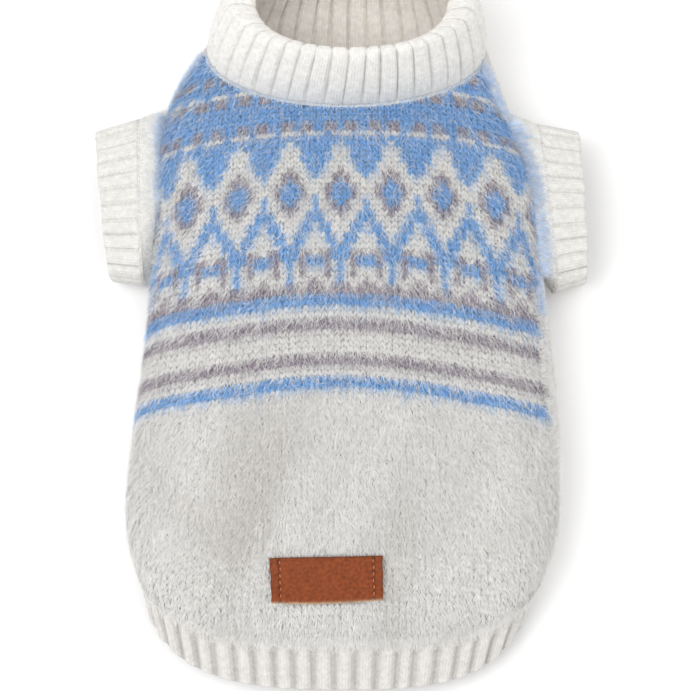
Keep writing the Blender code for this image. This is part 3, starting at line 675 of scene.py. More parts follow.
def equal_steps(loop, count, closed=True):
    """A line of points resampled at equal steps; columns past the third go with their points."""
    line = np.concatenate((loop, loop[:1])) if closed else loop
    length = lengths_along(line[:, :3])
    share = np.arange(count) / count if closed else np.linspace(0.0, 1.0, count)
    return np.column_stack([np.interp(share * length[-1], length, line[:, a])
                            for a in range(line.shape[1])])


def fuzz(name, path, normals, lean, count, spread, long, colour_at, seed, stand=1.0):
    """Loose fibres of the nap that stand over a seam, rooted near a line and leaning over it."""
    chance = np.random.default_rng(seed)
    line = equal_steps(np.column_stack((path, normals, lean)), 1200, False)
    at = chance.integers(0, 1200, count)
    normal, lean = unit(line[at, 3:6]), unit(line[at, 6:9])
    ahead = unit(np.cross(normal, lean))
    length = (long * np.exp(chance.normal(0.0, 0.4, count)))[:, None]
    turn = chance.normal(0.0, 0.55, count)[:, None]
    way = lean * np.cos(turn) + ahead * np.sin(turn)
    root = line[at, :3] - lean * chance.uniform(-0.2 * spread, spread, count)[:, None] - normal * 0.3
    middle = root + way * length * 0.5 + normal * stand * chance.uniform(0.5, 1.3, count)[:, None]
    tip = root + way * length + ahead * chance.normal(0.0, 0.5, count)[:, None] + (
        normal * stand * chance.uniform(0.3, 1.8, count)[:, None])
    side = unit(np.cross(way, normal)) * chance.uniform(0.05, 0.09, count)[:, None]
    colours = colour_at(root, chance) * chance.normal(1.0, 0.06, (count, 1))
    piece = blades(name, root, middle, tip, side, colours)
    return piece


def white_fuzz(root, chance):
    """White yarn at every root."""
    return np.tile(YARN["w"], (len(root), 1))


def yoke_fuzz(root, chance):
    """Blue by the yoke and white by the stripes below it, with white strands among the blue."""
    blue = (root[:, 1] > 14.0) * chance.uniform(0.0, 0.75, len(root))
    return YARN["b"] * 1.2 * blue[:, None] + YARN["w"] * (1.0 - blue[:, None])


nap_yarn = yarn_material("brushed nap", sheen=0.35, fibre=0.0)
for number, (long, lift, width, holes) in enumerate(NAP_LAYERS):
    back_nap = nap("back_nap_%d" % (number + 1), back_map, 40000, 20 + number, stitch_colour,
                   long, lift, width, holes)
around = np.linspace(0.1, 1.98, 400)
ring, normal = body_outer(NECK, around), normals_of(body_outer, NECK, around)
neck_lean = unit(ring - body_outer(9.65, around))
neck_fuzz = fuzz("neck_fuzz", ring, normal, neck_lean, 1300, 2.2, 1.9, yoke_fuzz, 91)
around = np.linspace(0.0, 2.05, 400)
ring, normal = body_outer(HEM_SEAM, around), normals_of(body_outer, HEM_SEAM, around)
hem_lean = unit(body_ring(0.6, around) - ring)
hem_fuzz = fuzz("hem_fuzz", ring, normal, hem_lean, 3600, 2.5, 3.6, white_fuzz, 92)
# Fibres of a side: first and last ring, lean out and up, how many, spread of roots and length.
SIDE_FUZZ = (("tail", 1.4, ARMHOLE_START, 0.2, 0.0, 2600, 5.0, 3.4),
             ("armhole", ARMHOLE_START, ARMHOLE_END - 0.12, 1.0, 0.35, 4600, 2.0, 4.6),
             ("neck", ARMHOLE_END, 9.9, 0.2, 0.0, 1300, 4.0, 3.2))
for side, column, outward in (("right", 0, 1.0), ("left", 1, -1.0)):
    for part, low, high, out, up, count, spread, long in SIDE_FUZZ:
        places = np.linspace(low, high, 120)
        path, normal, spots = side_edge(places, "back", column)
        beyond = [body_outer(place, spot - outward * 0.06)[0] for place, spot in zip(places, spots)]
        lean = unit(np.array(beyond) - path) * (1.0 - up) + np.array([outward * out, 0.0, up])
        fuzz("%s_fuzz_%s" % (part, side), path, normal, unit(lean), count, spread,
                              long, yoke_fuzz, 93, 1.5)

# ---- Belly ----------------------------------------------------------------------------------------
# The belly is a narrower, shorter piece of plain off-white knit, sewn to the back along both sides.
# It carries the sweater: its underside lies flat on the floor.
BELLY_WHITE = screen_colour(236, 234, 230)


def belly_colour(across, along):
    """One off-white yarn all over."""
    return np.tile(BELLY_WHITE, (len(across), 1))


belly_map = knit_map("belly", 1.6, 4.5, 3.0, -1.0)
belly_cloth = panel("belly_cloth", "belly", 60, 70, 0.0, belly_colour, -1.0)
belly_cloth.data.materials.append(yarn_material("belly knit", 0.0009))
belly_nap = nap("belly_nap", belly_map, 15000, 31, belly_colour, 2.6, 0.45, 0.15)
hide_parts("belly_panel")

# ---- Sleeves --------------------------------------------------------------------------------------
# Two short tubes of plain knit, set into the armholes and linked to the cuffs.
SLEEVES = {"left": (-95.4, -0.045, -113.0, -0.12, 35.0, 114.5, 37.5, 108.5),
           "right": (93.6, -0.09, 110.2, -0.03, 31.5, 112.0, 36.0, 108.5)}
SLEEVE_COLUMNS = ("seam_x", "seam_slant", "end_x", "end_slant",
                  "rear_y", "front_y", "end_rear_y", "end_front_y")
SLEEVE_LOW, SLEEVE_TOP, CUFF_TOP, SLEEVE_ROUND = -2.0, 33.5, 31.5, 2.8
# The sleeves' off-white is painted lighter than the same yarn elsewhere: painted light against the shade
# from the body.
SLEEVE_WHITE_PAINTED_LIGHT = screen_colour(245, 244, 241)
SHED_BLUE = screen_colour(200, 216, 238)
SLEEVE_RINGS, SLEEVE_STEPS = 22, 150
SLEEVE_WALES, SLEEVE_COURSES = 74.0, 7.0


def signed_power(values, power):
    """Values raised to a power with their signs kept, for a squared-off oval."""
    return np.sign(values) * np.abs(values)**power


def sleeve_ring(side, share, angles, drop):
    """Section of a sleeve between its cuff seam (0) and open end (1), drawn in by drop."""
    size = dict(zip(SLEEVE_COLUMNS, SLEEVES[side]))
    rear = size["rear_y"] + (size["end_rear_y"] - size["rear_y"]) * share
    front = size["front_y"] + (size["end_front_y"] - size["front_y"]) * share
    top = SLEEVE_TOP + (CUFF_TOP - SLEEVE_TOP) * share
    y = (rear + front) / 2 + ((front - rear) / 2 - drop) * signed_power(np.cos(angles), 2 / SLEEVE_ROUND)
    z = (top + SLEEVE_LOW) / 2 + (
        (top - SLEEVE_LOW) / 2 - drop) * signed_power(np.sin(angles), 2 / SLEEVE_ROUND)
    slant = size["seam_slant"] + (size["end_slant"] - size["seam_slant"]) * share
    x = size["seam_x"] + (size["end_x"] - size["seam_x"]) * share + slant * (y - 72.0)
    return np.column_stack((x, y, np.maximum(z, drop)))


def armhole(side, count):
    """Points round an armhole, the cloth's normals there, and the way off into the cloth."""
    column = 1 if side == "left" else 0
    places = ARMHOLE_MIDDLE - ARMHOLE_HALF * np.cos(np.linspace(0.0, np.pi, 60))
    up_back, down_belly = (np.hstack(side_edge(run, piece, at)[:2]) for piece, run, at in (
        ("back", places, column), ("belly", places[::-1][1:-1], 1 - column)))
    loop = equal_steps(np.concatenate((up_back, down_belly)), count)
    edge, normal = loop[:, :3], unit(loop[:, 3:])
    away = unit(np.cross(np.roll(edge, -1, axis=0) - np.roll(edge, 1, axis=0), normal))
    if np.sum(away * (edge - edge.mean(axis=0))) < 0.0:
        away = -away
    return edge, normal, away


def tube(name, face, back, flat):
    """A cloth tube: closed rings of its face and of its back, joined at both ends."""
    rings = np.concatenate((face, back[::-1]))
    count, columns = rings.shape[:2]
    number = np.arange(count * columns).reshape(count, columns)
    beside = np.roll(number, -1, axis=1)
    quads = np.stack((number, beside, np.roll(beside, -1, axis=0), np.roll(number, -1, axis=0)), -1)
    quads = quads.reshape(-1, 4)
    points = rings.reshape(-1, 3)
    first, second, third = (points[quads[:, corner]] for corner in (0, 1, 2))
    if np.sum(first * np.cross(second, third)) + np.sum(
            first * np.cross(third, points[quads[:, 3]])) < 0.0:
        quads = quads[:, ::-1]
    piece = place_mesh(name, points, quads)
    lay_flat_map(piece, flat, np.ptp(flat[:, :, 0]) * columns / (columns - 1))
    return piece


def tube_cloth(face):
    """A tube's face as a cloth map for the nap, with across round it and along its length."""
    rings, columns = face.shape[:2]
    step = np.linalg.norm(np.diff(face, axis=0), axis=2).mean()
    girth = np.linalg.norm(np.diff(face[0], axis=0), axis=1).sum()
    across = np.arange(-girth / 2, girth / 2, MAP_STEP)
    along = np.arange(0.0, step * (rings - 1), MAP_STEP)
    i = np.clip(along / step, 0, rings - 1.001)
    j = np.clip((across + girth / 2) / girth * (columns - 1), 0, columns - 1.001)
    points = grid_values(face, *np.broadcast_arrays(i[None, :], j[:, None]))
    normal = unit(np.cross(np.gradient(points, axis=0), np.gradient(points, axis=1)))
    normal = normal * np.sign(np.sum((points - points.mean(axis=(0, 1))) * normal))
    return {"points": points, "normals": normal, "inside": np.ones(points.shape[:2]),
            "across": across, "along": along}


def sleeve_colour(across, along):
    """Off-white, with blue fibres shed from the yoke close to the armhole."""
    share = np.clip(1.0 - along / 13.0, 0.0, 1.0)[:, None] * 0.4
    return SLEEVE_WHITE_PAINTED_LIGHT * (1 - share) + SHED_BLUE * share


sleeve_yarn = yarn_material("sleeve knit", 0.0004)
for side in SLEEVES:
    edge, normal, away = armhole(side, SLEEVE_STEPS)
    base_face = edge - away * 0.3 - normal * 0.3
    base_back = off_floor(base_face - away * KNIT_WALL, 0.5)
    base_face = off_floor(base_face)
    middle = (edge.max(axis=0) + edge.min(axis=0)) / 2
    half = (edge.max(axis=0) - edge.min(axis=0)) / 2
    oval = signed_power((edge - middle) / half, SLEEVE_ROUND / 2)
    angles = np.arctan2(oval[:, 2], oval[:, 1])
    seam_face = sleeve_ring(side, 0.0, angles, 0.0)
    seam_back = sleeve_ring(side, 0.0, angles, KNIT_WALL)
    shares = np.linspace(0.0, 1.0, SLEEVE_RINGS)[:, None, None]
    face = base_face + (seam_face - base_face) * shares
    back = base_back + (seam_back - base_back) * shares
    ripple = np.sin(np.arange(SLEEVE_STEPS) * 2 * np.pi / SLEEVE_STEPS * 7 + 1.0)[None, :, None]
    swell = np.sin(np.pi * shares) * 0.5 * ripple
    face = off_floor(face + unit(seam_face - seam_back)[None] * swell)
    wales = np.arange(SLEEVE_STEPS)[None, :] / SLEEVE_STEPS * SLEEVE_WALES
    flat = np.stack(np.broadcast_arrays(wales, shares[:, :, 0] * SLEEVE_COURSES), -1)
    sleeve = tube("sleeve_%s_cloth" % side, face, back, np.concatenate((flat, flat[::-1])))
    tint(sleeve, np.tile(SLEEVE_WHITE_PAINTED_LIGHT, (len(sleeve.data.vertices), 1)))
    sleeve.data.materials.append(sleeve_yarn)
    sleeve_nap = nap("sleeve_%s_nap" % side, tube_cloth(face), 6000, 41, sleeve_colour, 2.4, 0.5, 0.14)
    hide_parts("sleeve_" + side)

# ---- Cuffs ----------------------------------------------------------------------------------------
# Bands of two-by-one rib in smooth off-white yarn, linked to the sleeves, ribs along the arm.
RIB_WALL = 3.2
RIB_STATIONS = np.array([0.0, 0.05, 0.10, 0.16, 0.25, 0.36, 0.50, 0.64, 0.75, 0.84, 0.90, 0.95])
RIB_GROOVE, RIB_CROWN = 1.25, 0.4
CUFF_RIBS, CUFF_LENGTH = 25, 0.94
CUFF_GROOVE_WIDTH, CUFF_GROOVE_DEPTH = 0.13, 0.8
# The cuffs' rib yarn is painted a little darker than the collar's same yarn: painted shade.
CUFF_WHITE_PAINTED_SHADE = screen_colour(232, 230, 226)


def rib_columns(ribs, seed):
    """Places of the points across a number of ribs, and each one's number and share of its rib."""
    chance = np.random.default_rng(seed)
    edges = np.arange(ribs + 1) + np.concatenate(([0.0], chance.normal(0, 0.05, ribs - 1), [0.0]))
    places = [(edges[rib] + (edges[rib + 1] - edges[rib]) * share) / ribs
              for rib in range(ribs) for share in RIB_STATIONS]
    return np.array(places), np.repeat(np.arange(ribs), len(RIB_STATIONS)), np.tile(RIB_STATIONS, ribs)


def rib_height(share, along, rib, seed, groove_width=0.08, groove_depth=RIB_GROOVE):
    """Relief of a rib: a groove, a wide flat crown and the faint V stitches on it."""
    chance = np.random.default_rng(seed)
    depth = 1.0 + chance.normal(0.0, 0.14, rib.max() + 1)[rib]
    away = np.minimum(share, 1.0 - share)
    groove = np.exp(-(away / groove_width)**2)
    crown = np.sqrt(np.clip(1.0 - np.abs((share - 0.5) / 0.51)**3, 0.0, 1.0))
    wale = np.mod((share - 0.08) / 0.42, 1.0)
    leg = np.mod(along - np.abs(wale - 0.5) * 1.1, 1.0)
    stitch = np.sin(np.pi * leg) * np.sin(np.pi * np.clip(wale, 0, 1)) ** 0.5 * (away > 0.06)
    return RIB_CROWN * crown - (groove_depth + RIB_CROWN) * depth * groove + 0.07 * stitch


def rib_colours(colour, share, rings, width, deep):
    """Yarn colours of a ribbed tube, with painted shade down in its grooves."""
    groove = np.exp(-(np.minimum(share, 1.0 - share) / width)**2)
    return np.tile(colour * (1.0 - deep * groove[:, None]), (rings, 1))


def rib_tube(name, face, back, places, ribs, courses, colours):
    """A tube of rib from rings of its face and its back, with its flat map, colours and yarn."""
    face, back = np.array(face), np.array(back)
    along = np.concatenate((np.linspace(0, courses, len(face)), np.linspace(courses, 0, len(back))))
    flat = np.stack(np.broadcast_arrays(places * ribs * 3.0, along[:, None]), -1)
    piece = tube(name, face, back, flat)
    tint(piece, colours)
    piece.data.materials.append(rib_yarn)
    return piece


def arm_section(side, share, angles, drop, wall):
    """A sleeve's section, the same one drawn in by a wall, and the ways out, square to the arm."""
    outer, inner = (sleeve_ring(side, share, angles, depth) for depth in (drop, drop + wall))
    return outer, inner, unit((outer - inner) * np.array([0.0, 1.0, 1.0]))


rib_yarn = yarn_material("rib yarn", 0.0003, sheen=0.2, fibre=0.6)
for side in SLEEVES:
    places, rib, across = rib_columns(CUFF_RIBS, 51)
    dense = np.linspace(0.0, 2 * math.pi, 2001)
    length = lengths_along(sleeve_ring(side, 0.5, dense, 0.0))
    angles = np.interp(places * length[-1], length, dense)
    face, back = [], []
    outward = np.sign(SLEEVES[side][0])
    uneven = 0.15 + 0.25 * np.sin(rib * 1.7)
    for share, turn in [(share, 0.0) for share in np.linspace(0.0, 1.0, 30)] + [
            (1.0, math.radians(turn)) for turn in (25.0, 55.0, 85.0)]:
        drop = RIB_WALL / 2 * (1 - math.cos(turn))
        wall = 1.0 if turn else RIB_WALL
        point, _, normal = arm_section(side, share * CUFF_LENGTH, angles, drop, wall)
        rise = math.cos(turn) * 0.8 if turn else min(1.0, 0.25 + share * 4.0)
        relief = rib_height(across, share * 7.5, rib, 52, CUFF_GROOVE_WIDTH, CUFF_GROOVE_DEPTH)
        point = point + normal * (relief * rise)[:, None]
        point[:, 0] += outward * (1.4 * math.sin(turn) + uneven * share)
        face.append(off_floor(point))
    for share in (0.0, 0.25, 0.5, 0.75, CUFF_LENGTH):
        _, inner, normal = arm_section(side, share, angles, 0.0, RIB_WALL)
        back.append(inner + normal * 0.3 * np.cos(across * 2 * np.pi)[:, None])
    # Painted shade down in the cuff's grooves.
    colours = rib_colours(CUFF_WHITE_PAINTED_SHADE, across, len(face) + len(back), CUFF_GROOVE_WIDTH, 0.10)
    cuff = rib_tube("cuff_%s_rib" % side, face, back, places, CUFF_RIBS, 8, colours)
    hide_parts("cuff_" + side)

# ---- Hem ------------------------------------------------------------------------------------------
# A band of the same rib, linked all round the bottom of back and belly; it fans out round the tail.
HEM_RIBS = 52
HEM_GROOVE_WIDTH, HEM_GROOVE_DEPTH, HEM_GROOVE_LIMIT = 0.22, 1.9, 2.3
# The hem's rib yarn is painted darker than the collar's same yarn: painted shade on the downward-facing
# band.
HEM_WHITE_PAINTED_SHADE = screen_colour(226, 223, 219)


def hem_ring(outer, normal, courses, rise, limit, shift):
    """A ring of the hem's ribs over the body's smooth ring, with grooves no deeper than a limit."""
    relief = rib_height(across, courses, rib, 62, HEM_GROOVE_WIDTH, HEM_GROOVE_DEPTH)
    return off_floor(outer + normal * np.maximum(relief * rise, -limit)[:, None] + shift)


places, rib, across = rib_columns(HEM_RIBS, 61)
dense = np.linspace(0.03, 4.03, 1601)[:-1]
seam_loop = equal_steps(np.column_stack((body_outer(HEM_SEAM, dense), dense)), 2400)
around = np.interp(places, np.arange(2400) / 2400, np.unwrap(seam_loop[:, 3], period=4.0))
face, back = [], []
for share in np.linspace(0.035, 0.95, 34):
    outer = body_ring(HEM_SEAM * (1.0 - share), around)
    normal = normals_of(body_ring, HEM_SEAM * (1.0 - share), around)
    rise = min(1.0, 0.35 + share * 3.0)
    face.append(hem_ring(outer, normal, share * 9.0, rise, HEM_GROOVE_LIMIT, 0.0))
    if len(face) % 6 == 1:
        back.append(outer - normal * (RIB_WALL + 0.1))
back[-1] = outer - normal * RIB_WALL
onward = unit(face[-1] - face[-4])
for turn in np.radians((30.0, 60.0, 90.0)):
    shift = onward * 1.2 * math.sin(turn) - normal * RIB_WALL / 2 * (1 - math.cos(turn))
    rise = 0.8 * math.cos(turn)
    face.append(hem_ring(outer, normal, 9.0, rise, HEM_GROOVE_LIMIT * rise, shift))
# Strong painted shade down in the hem's grooves.
colours = rib_colours(HEM_WHITE_PAINTED_SHADE, across, len(face) + len(back), HEM_GROOVE_WIDTH, 0.26)
hem = rib_tube("hem_rib_band", face, back, places, HEM_RIBS, 9, colours)
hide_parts("hem_rib")

# ---- Collar ---------------------------------------------------------------------------------------
# A tall tube of rib, doubled over at the rim and linked to the neck edge by both of its ends, so it
# is two layers of cloth with a soft roll at the top.
COLLAR_WALL, COLLAR_HEIGHT, COLLAR_TILT = 5.6, 36.0, 64.0
RIM_HALF_WIDTH, RIM_HALF_DEPTH, RIM_SIDE_SHIFT = 57.4, 42.5, 2.6
MOUTH_HALF_WIDTH, MOUTH_HALF_DEPTH, MOUTH_SQUARE = 44.5, 36.9, 2.3
COLLAR_BULGE, COLLAR_FOOT, COLLAR_RIBS, COLLAR_LAYER = 1.6, 0.2, 40, 2.3
FACING_DEPTH = 5.4
COLLAR_RINGS, LINING_RINGS = 67, 20
COLLAR_WHITE = screen_colour(242, 240, 236)
# Painted light: the collar's inside is made lighter and a little warmer against the shade in its mouth.
INSIDE_PAINTED_LIGHT = np.array([0.12, 0.08, 0.045])


def smooth_rings(rings, count):
    """Rings on a smooth curve through given rings, at equal parts of its length."""
    rings = np.array(rings)
    length = np.linalg.norm(np.diff(rings, axis=0), axis=2).mean(axis=1)
    knots = np.concatenate(([0.0], np.cumsum(length)))
    slopes = np.gradient(rings, knots, axis=0)
    made = []
    for at in np.linspace(0.0, knots[-1], count):
        low = int(min(np.searchsorted(knots, at, side="right") - 1, len(knots) - 2))
        wide = knots[low + 1] - knots[low]
        made.append(smooth_step((at - knots[low]) / wide, rings[low], rings[low + 1],
                                wide * slopes[low], wide * slopes[low + 1]))
    return np.array(made)


places, rib, across = rib_columns(COLLAR_RIBS, 71)
dense = np.linspace(0.12, 4.12, 1601)[:-1]
neck_ring = body_outer(NECK, dense)
neck_normal = normals_of(body_outer, NECK, dense)
neck_onward = unit(neck_ring - body_outer(9.65, dense))
loop = equal_steps(np.column_stack((neck_ring, neck_onward, dense)), 2400)
loop = np.concatenate((loop, loop[:1]))
loop[-1, 6] += 4.0
edge = np.column_stack([np.interp(places, np.arange(2401) / 2400, loop[:, a]) for a in range(7)])
outer_edge, onward, places_round = edge[:, 0:3], unit(edge[:, 3:6]), edge[:, 6]
tilt = math.radians(COLLAR_TILT)
axis = np.array([0.0, math.cos(tilt), math.sin(tilt)])
deep = np.array([0.0, math.sin(tilt), -math.cos(tilt)])
centre = (outer_edge.max(axis=0) + outer_edge.min(axis=0)) / 2
sideways = outer_edge[:, 0] - centre[0]
forward = (outer_edge - centre) @ deep
angle = np.arctan2(forward / np.ptp(forward), sideways / np.ptp(sideways))
radial = unit(np.outer(np.cos(angle) / RIM_HALF_WIDTH, (1.0, 0.0, 0.0))
              + np.outer(np.sin(angle) / RIM_HALF_DEPTH, deep))
rim = centre + axis * (COLLAR_HEIGHT - COLLAR_WALL / 2) + np.array([RIM_SIDE_SHIFT, 0.0, 0.0])
mouth_x = signed_power(np.cos(angle), 2 / MOUTH_SQUARE) * MOUTH_HALF_WIDTH
mouth_deep = signed_power(np.sin(angle), 2 / MOUTH_SQUARE) * MOUTH_HALF_DEPTH
mouth = rim + np.outer(mouth_x, (1.0, 0.0, 0.0)) + np.outer(mouth_deep, deep)
rim = rim + np.outer(np.cos(angle) * RIM_HALF_WIDTH, (1.0, 0.0, 0.0))
rim = rim + np.outer(np.sin(angle) * RIM_HALF_DEPTH, deep)
roll_way = unit(mouth - rim)
roll_wide = np.linalg.norm(mouth - rim, axis=1)[:, None]
base_outer = outer_edge + onward * 0.6
FACING_PLACES = np.linspace(8.4, NECK, 17)
facing_outer = np.array([body_outer(place, places_round) for place in FACING_PLACES])
facing_normal = np.array([normals_of(body_outer, place, places_round) for place in FACING_PLACES])
low_share = np.clip((np.mod(places_round, 4.0) - 2.0) / 2.0, 0.0, 1.0)
facing_reach = 0.15 + 1.3 * np.sin(np.pi * low_share)**0.7


def facing_ring(share, depth):
    """A ring of the collar's facing inside the neck, a share of the way down and a depth in."""
    at = (NECK - facing_reach * share - FACING_PLACES[0]) / (FACING_PLACES[1] - FACING_PLACES[0])
    low = np.clip(np.floor(at).astype(int), 0, len(FACING_PLACES) - 2)
    part = (at - low)[:, None]
    column = np.arange(len(low))
    skin, normal = (rings[low, column] * (1 - part) + rings[low + 1, column] * part
                    for rings in (facing_outer, facing_normal))
    return off_floor(skin - unit(normal) * depth, depth)


def collar_section(inset):
    """Rings up the outside, over the roll and down the inside, a depth below the cloth's face."""
    rings = [base_outer - radial * inset * 0.8]
    for share in (COLLAR_FOOT, 0.5, 0.8):
        bulge = COLLAR_BULGE * math.sin(math.pi * share)
        rings.append(base_outer + (rim - base_outer) * share + radial * (bulge - inset))
    for turn in np.radians((0.0, 35.0, 70.0, 105.0, 140.0, 170.0)):
        inward = roll_wide / 2 - (roll_wide / 2 - inset) * math.cos(turn)
        upward = (COLLAR_WALL / 2 - inset) * math.sin(turn)
        rings.append(rim + roll_way * inward + axis * upward)
    inside_foot = base_outer - radial * COLLAR_WALL
    for share in (0.8, 0.5, COLLAR_FOOT):
        rings.append(inside_foot + (mouth - inside_foot) * share + radial * inset)
    for share in (0.36, 0.55, 0.78, 1.0):
        rings.append(facing_ring(share, FACING_DEPTH - inset))
    return rings


plain = smooth_rings(collar_section(0.0), COLLAR_RINGS)
roll_share = np.argmax((plain[:, 120] - centre) @ axis) / (COLLAR_RINGS - 1)
under = smooth_rings(collar_section(COLLAR_LAYER), LINING_RINGS)
beside = np.roll(plain, -1, axis=1) - np.roll(plain, 1, axis=1)
outwards = unit(np.cross(beside, np.gradient(plain, axis=0)))
if np.sum(outwards[COLLAR_RINGS // 4] * radial) < 0.0:
    outwards = -outwards
face = []
for row, (ring, normal) in enumerate(zip(plain, outwards)):
    share = row / (COLLAR_RINGS - 1)
    rise = min(1.0, 0.2 + 8.0 * share, 0.2 + 8.0 * (1 - share))
    rise = rise * (1.0 - 0.65 * math.exp(-((share - roll_share) / 0.05)**2))
    rise = rise * (1.0 + 0.5 * min(max((share - roll_share) / 0.08, 0.0), 1.0))
    wander = across + 0.04 * np.sin(share * 9.0 + rib * 2.1)
    relief = rib_height(np.clip(wander, 0, 1), share * 33.0, rib, 72)
    face.append(ring + normal * (relief * rise - 0.1)[:, None])
rings = np.arange(len(face) + len(under))
# The collar's inside rows get painted light, lighter and warmer, and its grooves get painted shade.
inner_side = np.clip((rings / (COLLAR_RINGS - 1) - roll_share) / 0.1, 0.0, 1.0) * (rings < COLLAR_RINGS)
inside_painted_light = 1.0 + inner_side[:, None] * INSIDE_PAINTED_LIGHT
colours = rib_colours(COLLAR_WHITE, across, len(rings), 0.09, 0.09)
colours = colours * np.repeat(inside_painted_light, len(places), axis=0)
collar = rib_tube("collar_rib", face, under, places, COLLAR_RIBS, 33, colours)
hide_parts("collar")

# ---- Seams ----------------------------------------------------------------------------------------
# A chain of linking stitches covers each join: round the neck, along both sides, round the armholes
# and cuffs, and round the hem.
SEAM_YARN = screen_colour(222, 219, 215)


def chain(name, path, normals, link, width, tall, closed, seed):
    """A chain of small V stitches laid along a line, with its normals."""
    chance = np.random.default_rng(seed)
    count = max(int(lengths_along(path)[-1] / link), 3)
    line = equal_steps(np.column_stack((path, normals)), count * 4 + (0 if closed else 1), closed)
    point, normal = line[:, :3], unit(line[:, 3:])
    onward = np.roll(point, -1, axis=0) - np.roll(point, 1, axis=0)
    ahead = unit(onward if closed else np.gradient(point, axis=0))
    beside = unit(np.cross(normal, ahead))
    start = np.arange(count) * 4
    size = len(point)
    points = np.zeros((count, 2, 4, 3, 3))
    for leg, side in enumerate((-1.0, 1.0)):
        plump = 1.0 + chance.normal(0.0, 0.12, count)
        for station, (out, up, high, half) in enumerate(LEG):
            at = start + up * 4 * 1.1
            low = np.floor(at).astype(int)
            part = (at - low)[:, None]
            here, there = low % size, (low + 1) % size
            if not closed:
                here, there = np.clip(low, 0, size - 1), np.clip(low + 1, 0, size - 1)
            spot = point[here] * (1 - part) + point[there] * part
            for line_number, offset in enumerate((-1.0, 0.0, 1.0)):
                out_by = side * (out + offset * half * plump)[:, None] * width
                high_by = tall * (high if offset == 0.0 else high * 0.3 - 0.3) * plump[:, None]
                points[:, leg, station, line_number] = (
                    spot + beside[here] * out_by + normal[here] * high_by
                    - ahead[here] * offset * half * link * 0.4)
        if side > 0:
            points[:, leg] = points[:, leg, :, ::-1]
    piece = leg_strips(name, off_floor(points))
    tint(piece, SEAM_YARN * chance.normal(1.0, 0.06, (count * 24, 1)))
    piece.data.materials.append(seam_yarn)
    return piece


seam_yarn = yarn_material("seam yarn")
neck_path = neck_ring + neck_onward * 0.3 - neck_normal * 0.2
chain("neck_seam", neck_path, neck_normal, 2.6, 1.8, 0.6, True, 81)
hem_normal = normals_of(body_ring, HEM_SEAM, dense)
hem_path = off_floor(body_outer(HEM_SEAM, dense) - hem_normal * 0.4, 0.2)
chain("hem_seam", hem_path, hem_normal, 2.5, 2.4, 0.9, True, 82)
for side, column in (("right", 0), ("left", 1)):
    for part, low, high in (("tail", HEM_SEAM, ARMHOLE_START), ("neck", ARMHOLE_END, NECK)):
        path, normal, _ = side_edge(np.linspace(low, high, 60), "back", column)
        chain("side_seam_%s_%s" % (side, part), path - normal * 0.5, normal, 2.6, 2.4, 0.9, False, 83)
    edge, normal, away = armhole(side, 200)
    chain("armhole_seam_" + side, edge - away * 0.4 - normal * 0.2, normal, 2.6, 1.6, 0.5, True, 84)
    outer, _, normal = arm_section(side, 0.0, np.linspace(0.0, 2 * math.pi, 241)[:-1], 0.0, 1.0)
    chain("cuff_seam_" + side, outer - normal * 0.3, normal, 2.4, 2.0, 0.8, True, 85)

# ---- Leather patch --------------------------------------------------------------------------------
# A bare strip of brown leather, sewn to the tail by a row of thread near each end. Its cut edges
# are softly rounded and it bends with the cloth.
LABEL_THICK, LABEL_LIFT, CORNER_ROUND = 1.5, 0.9, 0.7
LENGTH_DRAWN_IN, WIDTH_DRAWN_IN = 0.965, 0.93
LEATHER = screen_colour(136, 66, 31)
# The lower cut edge is pale tan: the raw edge's own colour, painted only along the lower edge where it
# catches the light, so partly a painted highlight.
LIT_CUT_EDGE = screen_colour(222, 190, 156)
# The thread is painted a light orange-brown: partly a painted glint on a darker brown thread.
THREAD_AND_GLINT = screen_colour(190, 112, 70)
THREAD_PITCH, THREAD_START, THREAD_INSET, THREAD_HALF = 2.7, 1.2, 4.6, 0.34

tail = [body_outer(place, np.linspace(0.3, 1.7, 161)) for place in np.linspace(1.0, 4.0, 90)]
tail = np.concatenate(tail)
tail = tail[(np.abs(tail[:, 0] - LABEL_CENTRE[0]) < 34) & (np.abs(tail[:, 1] - LABEL_CENTRE[1]) < 20)]


def bend_terms(x, y):
    """Powers of a place near the patch, which its smooth bend is made of."""
    px, py = (x - LABEL_CENTRE[0]) / 20, (y - LABEL_CENTRE[1]) / 10
    return np.stack([px**i * py**j for i in range(5) for j in range(4)], -1)


patch_bend = np.linalg.lstsq(bend_terms(tail[:, 0], tail[:, 1]), tail[:, 2], rcond=None)[0]


def label_surface(across, along):
    """Points of the cloth under places on the patch."""
    turn = math.radians(LABEL_TURN)
    x = LABEL_CENTRE[0] + across * math.cos(turn) - along * math.sin(turn)
    y = LABEL_CENTRE[1] + across * math.sin(turn) + along * math.cos(turn)
    return np.stack((x, y, bend_terms(x, y) @ patch_bend), -1)


grid_u, grid_v = np.meshgrid(np.linspace(-0.5, 0.5, 91), np.linspace(-0.5, 0.5, 39), indexing="ij")
across, along = grid_u * LABEL_LENGTH * LENGTH_DRAWN_IN, grid_v * LABEL_WIDTH * WIDTH_DRAWN_IN
across = across + 0.12 * np.sin(along * 0.9) * np.abs(grid_u * 2)**8
along = along - (1 - (grid_u * 2)**2) * (0.55 + 0.5 * (grid_v < 0) * np.abs(grid_v * 2)**2)
base = label_surface(across, along)
lift = unit(np.cross(np.gradient(base, axis=0), np.gradient(base, axis=1)))
edge_gap = np.minimum((0.5 - np.abs(grid_u)) * LABEL_LENGTH, (0.5 - np.abs(grid_v)) * LABEL_WIDTH)
rounding = 0.5 * (1 - np.clip(edge_gap / CORNER_ROUND, 0, 1))**2
thread_line = LABEL_LENGTH / 2 - THREAD_INSET
groove = 0.28 * np.exp(-((np.abs(across) - thread_line) / 0.7)**2)
curl = 0.5 * np.abs(grid_u * 2)**10 + 0.35 * np.clip(grid_v * 2, 0, 1)**6
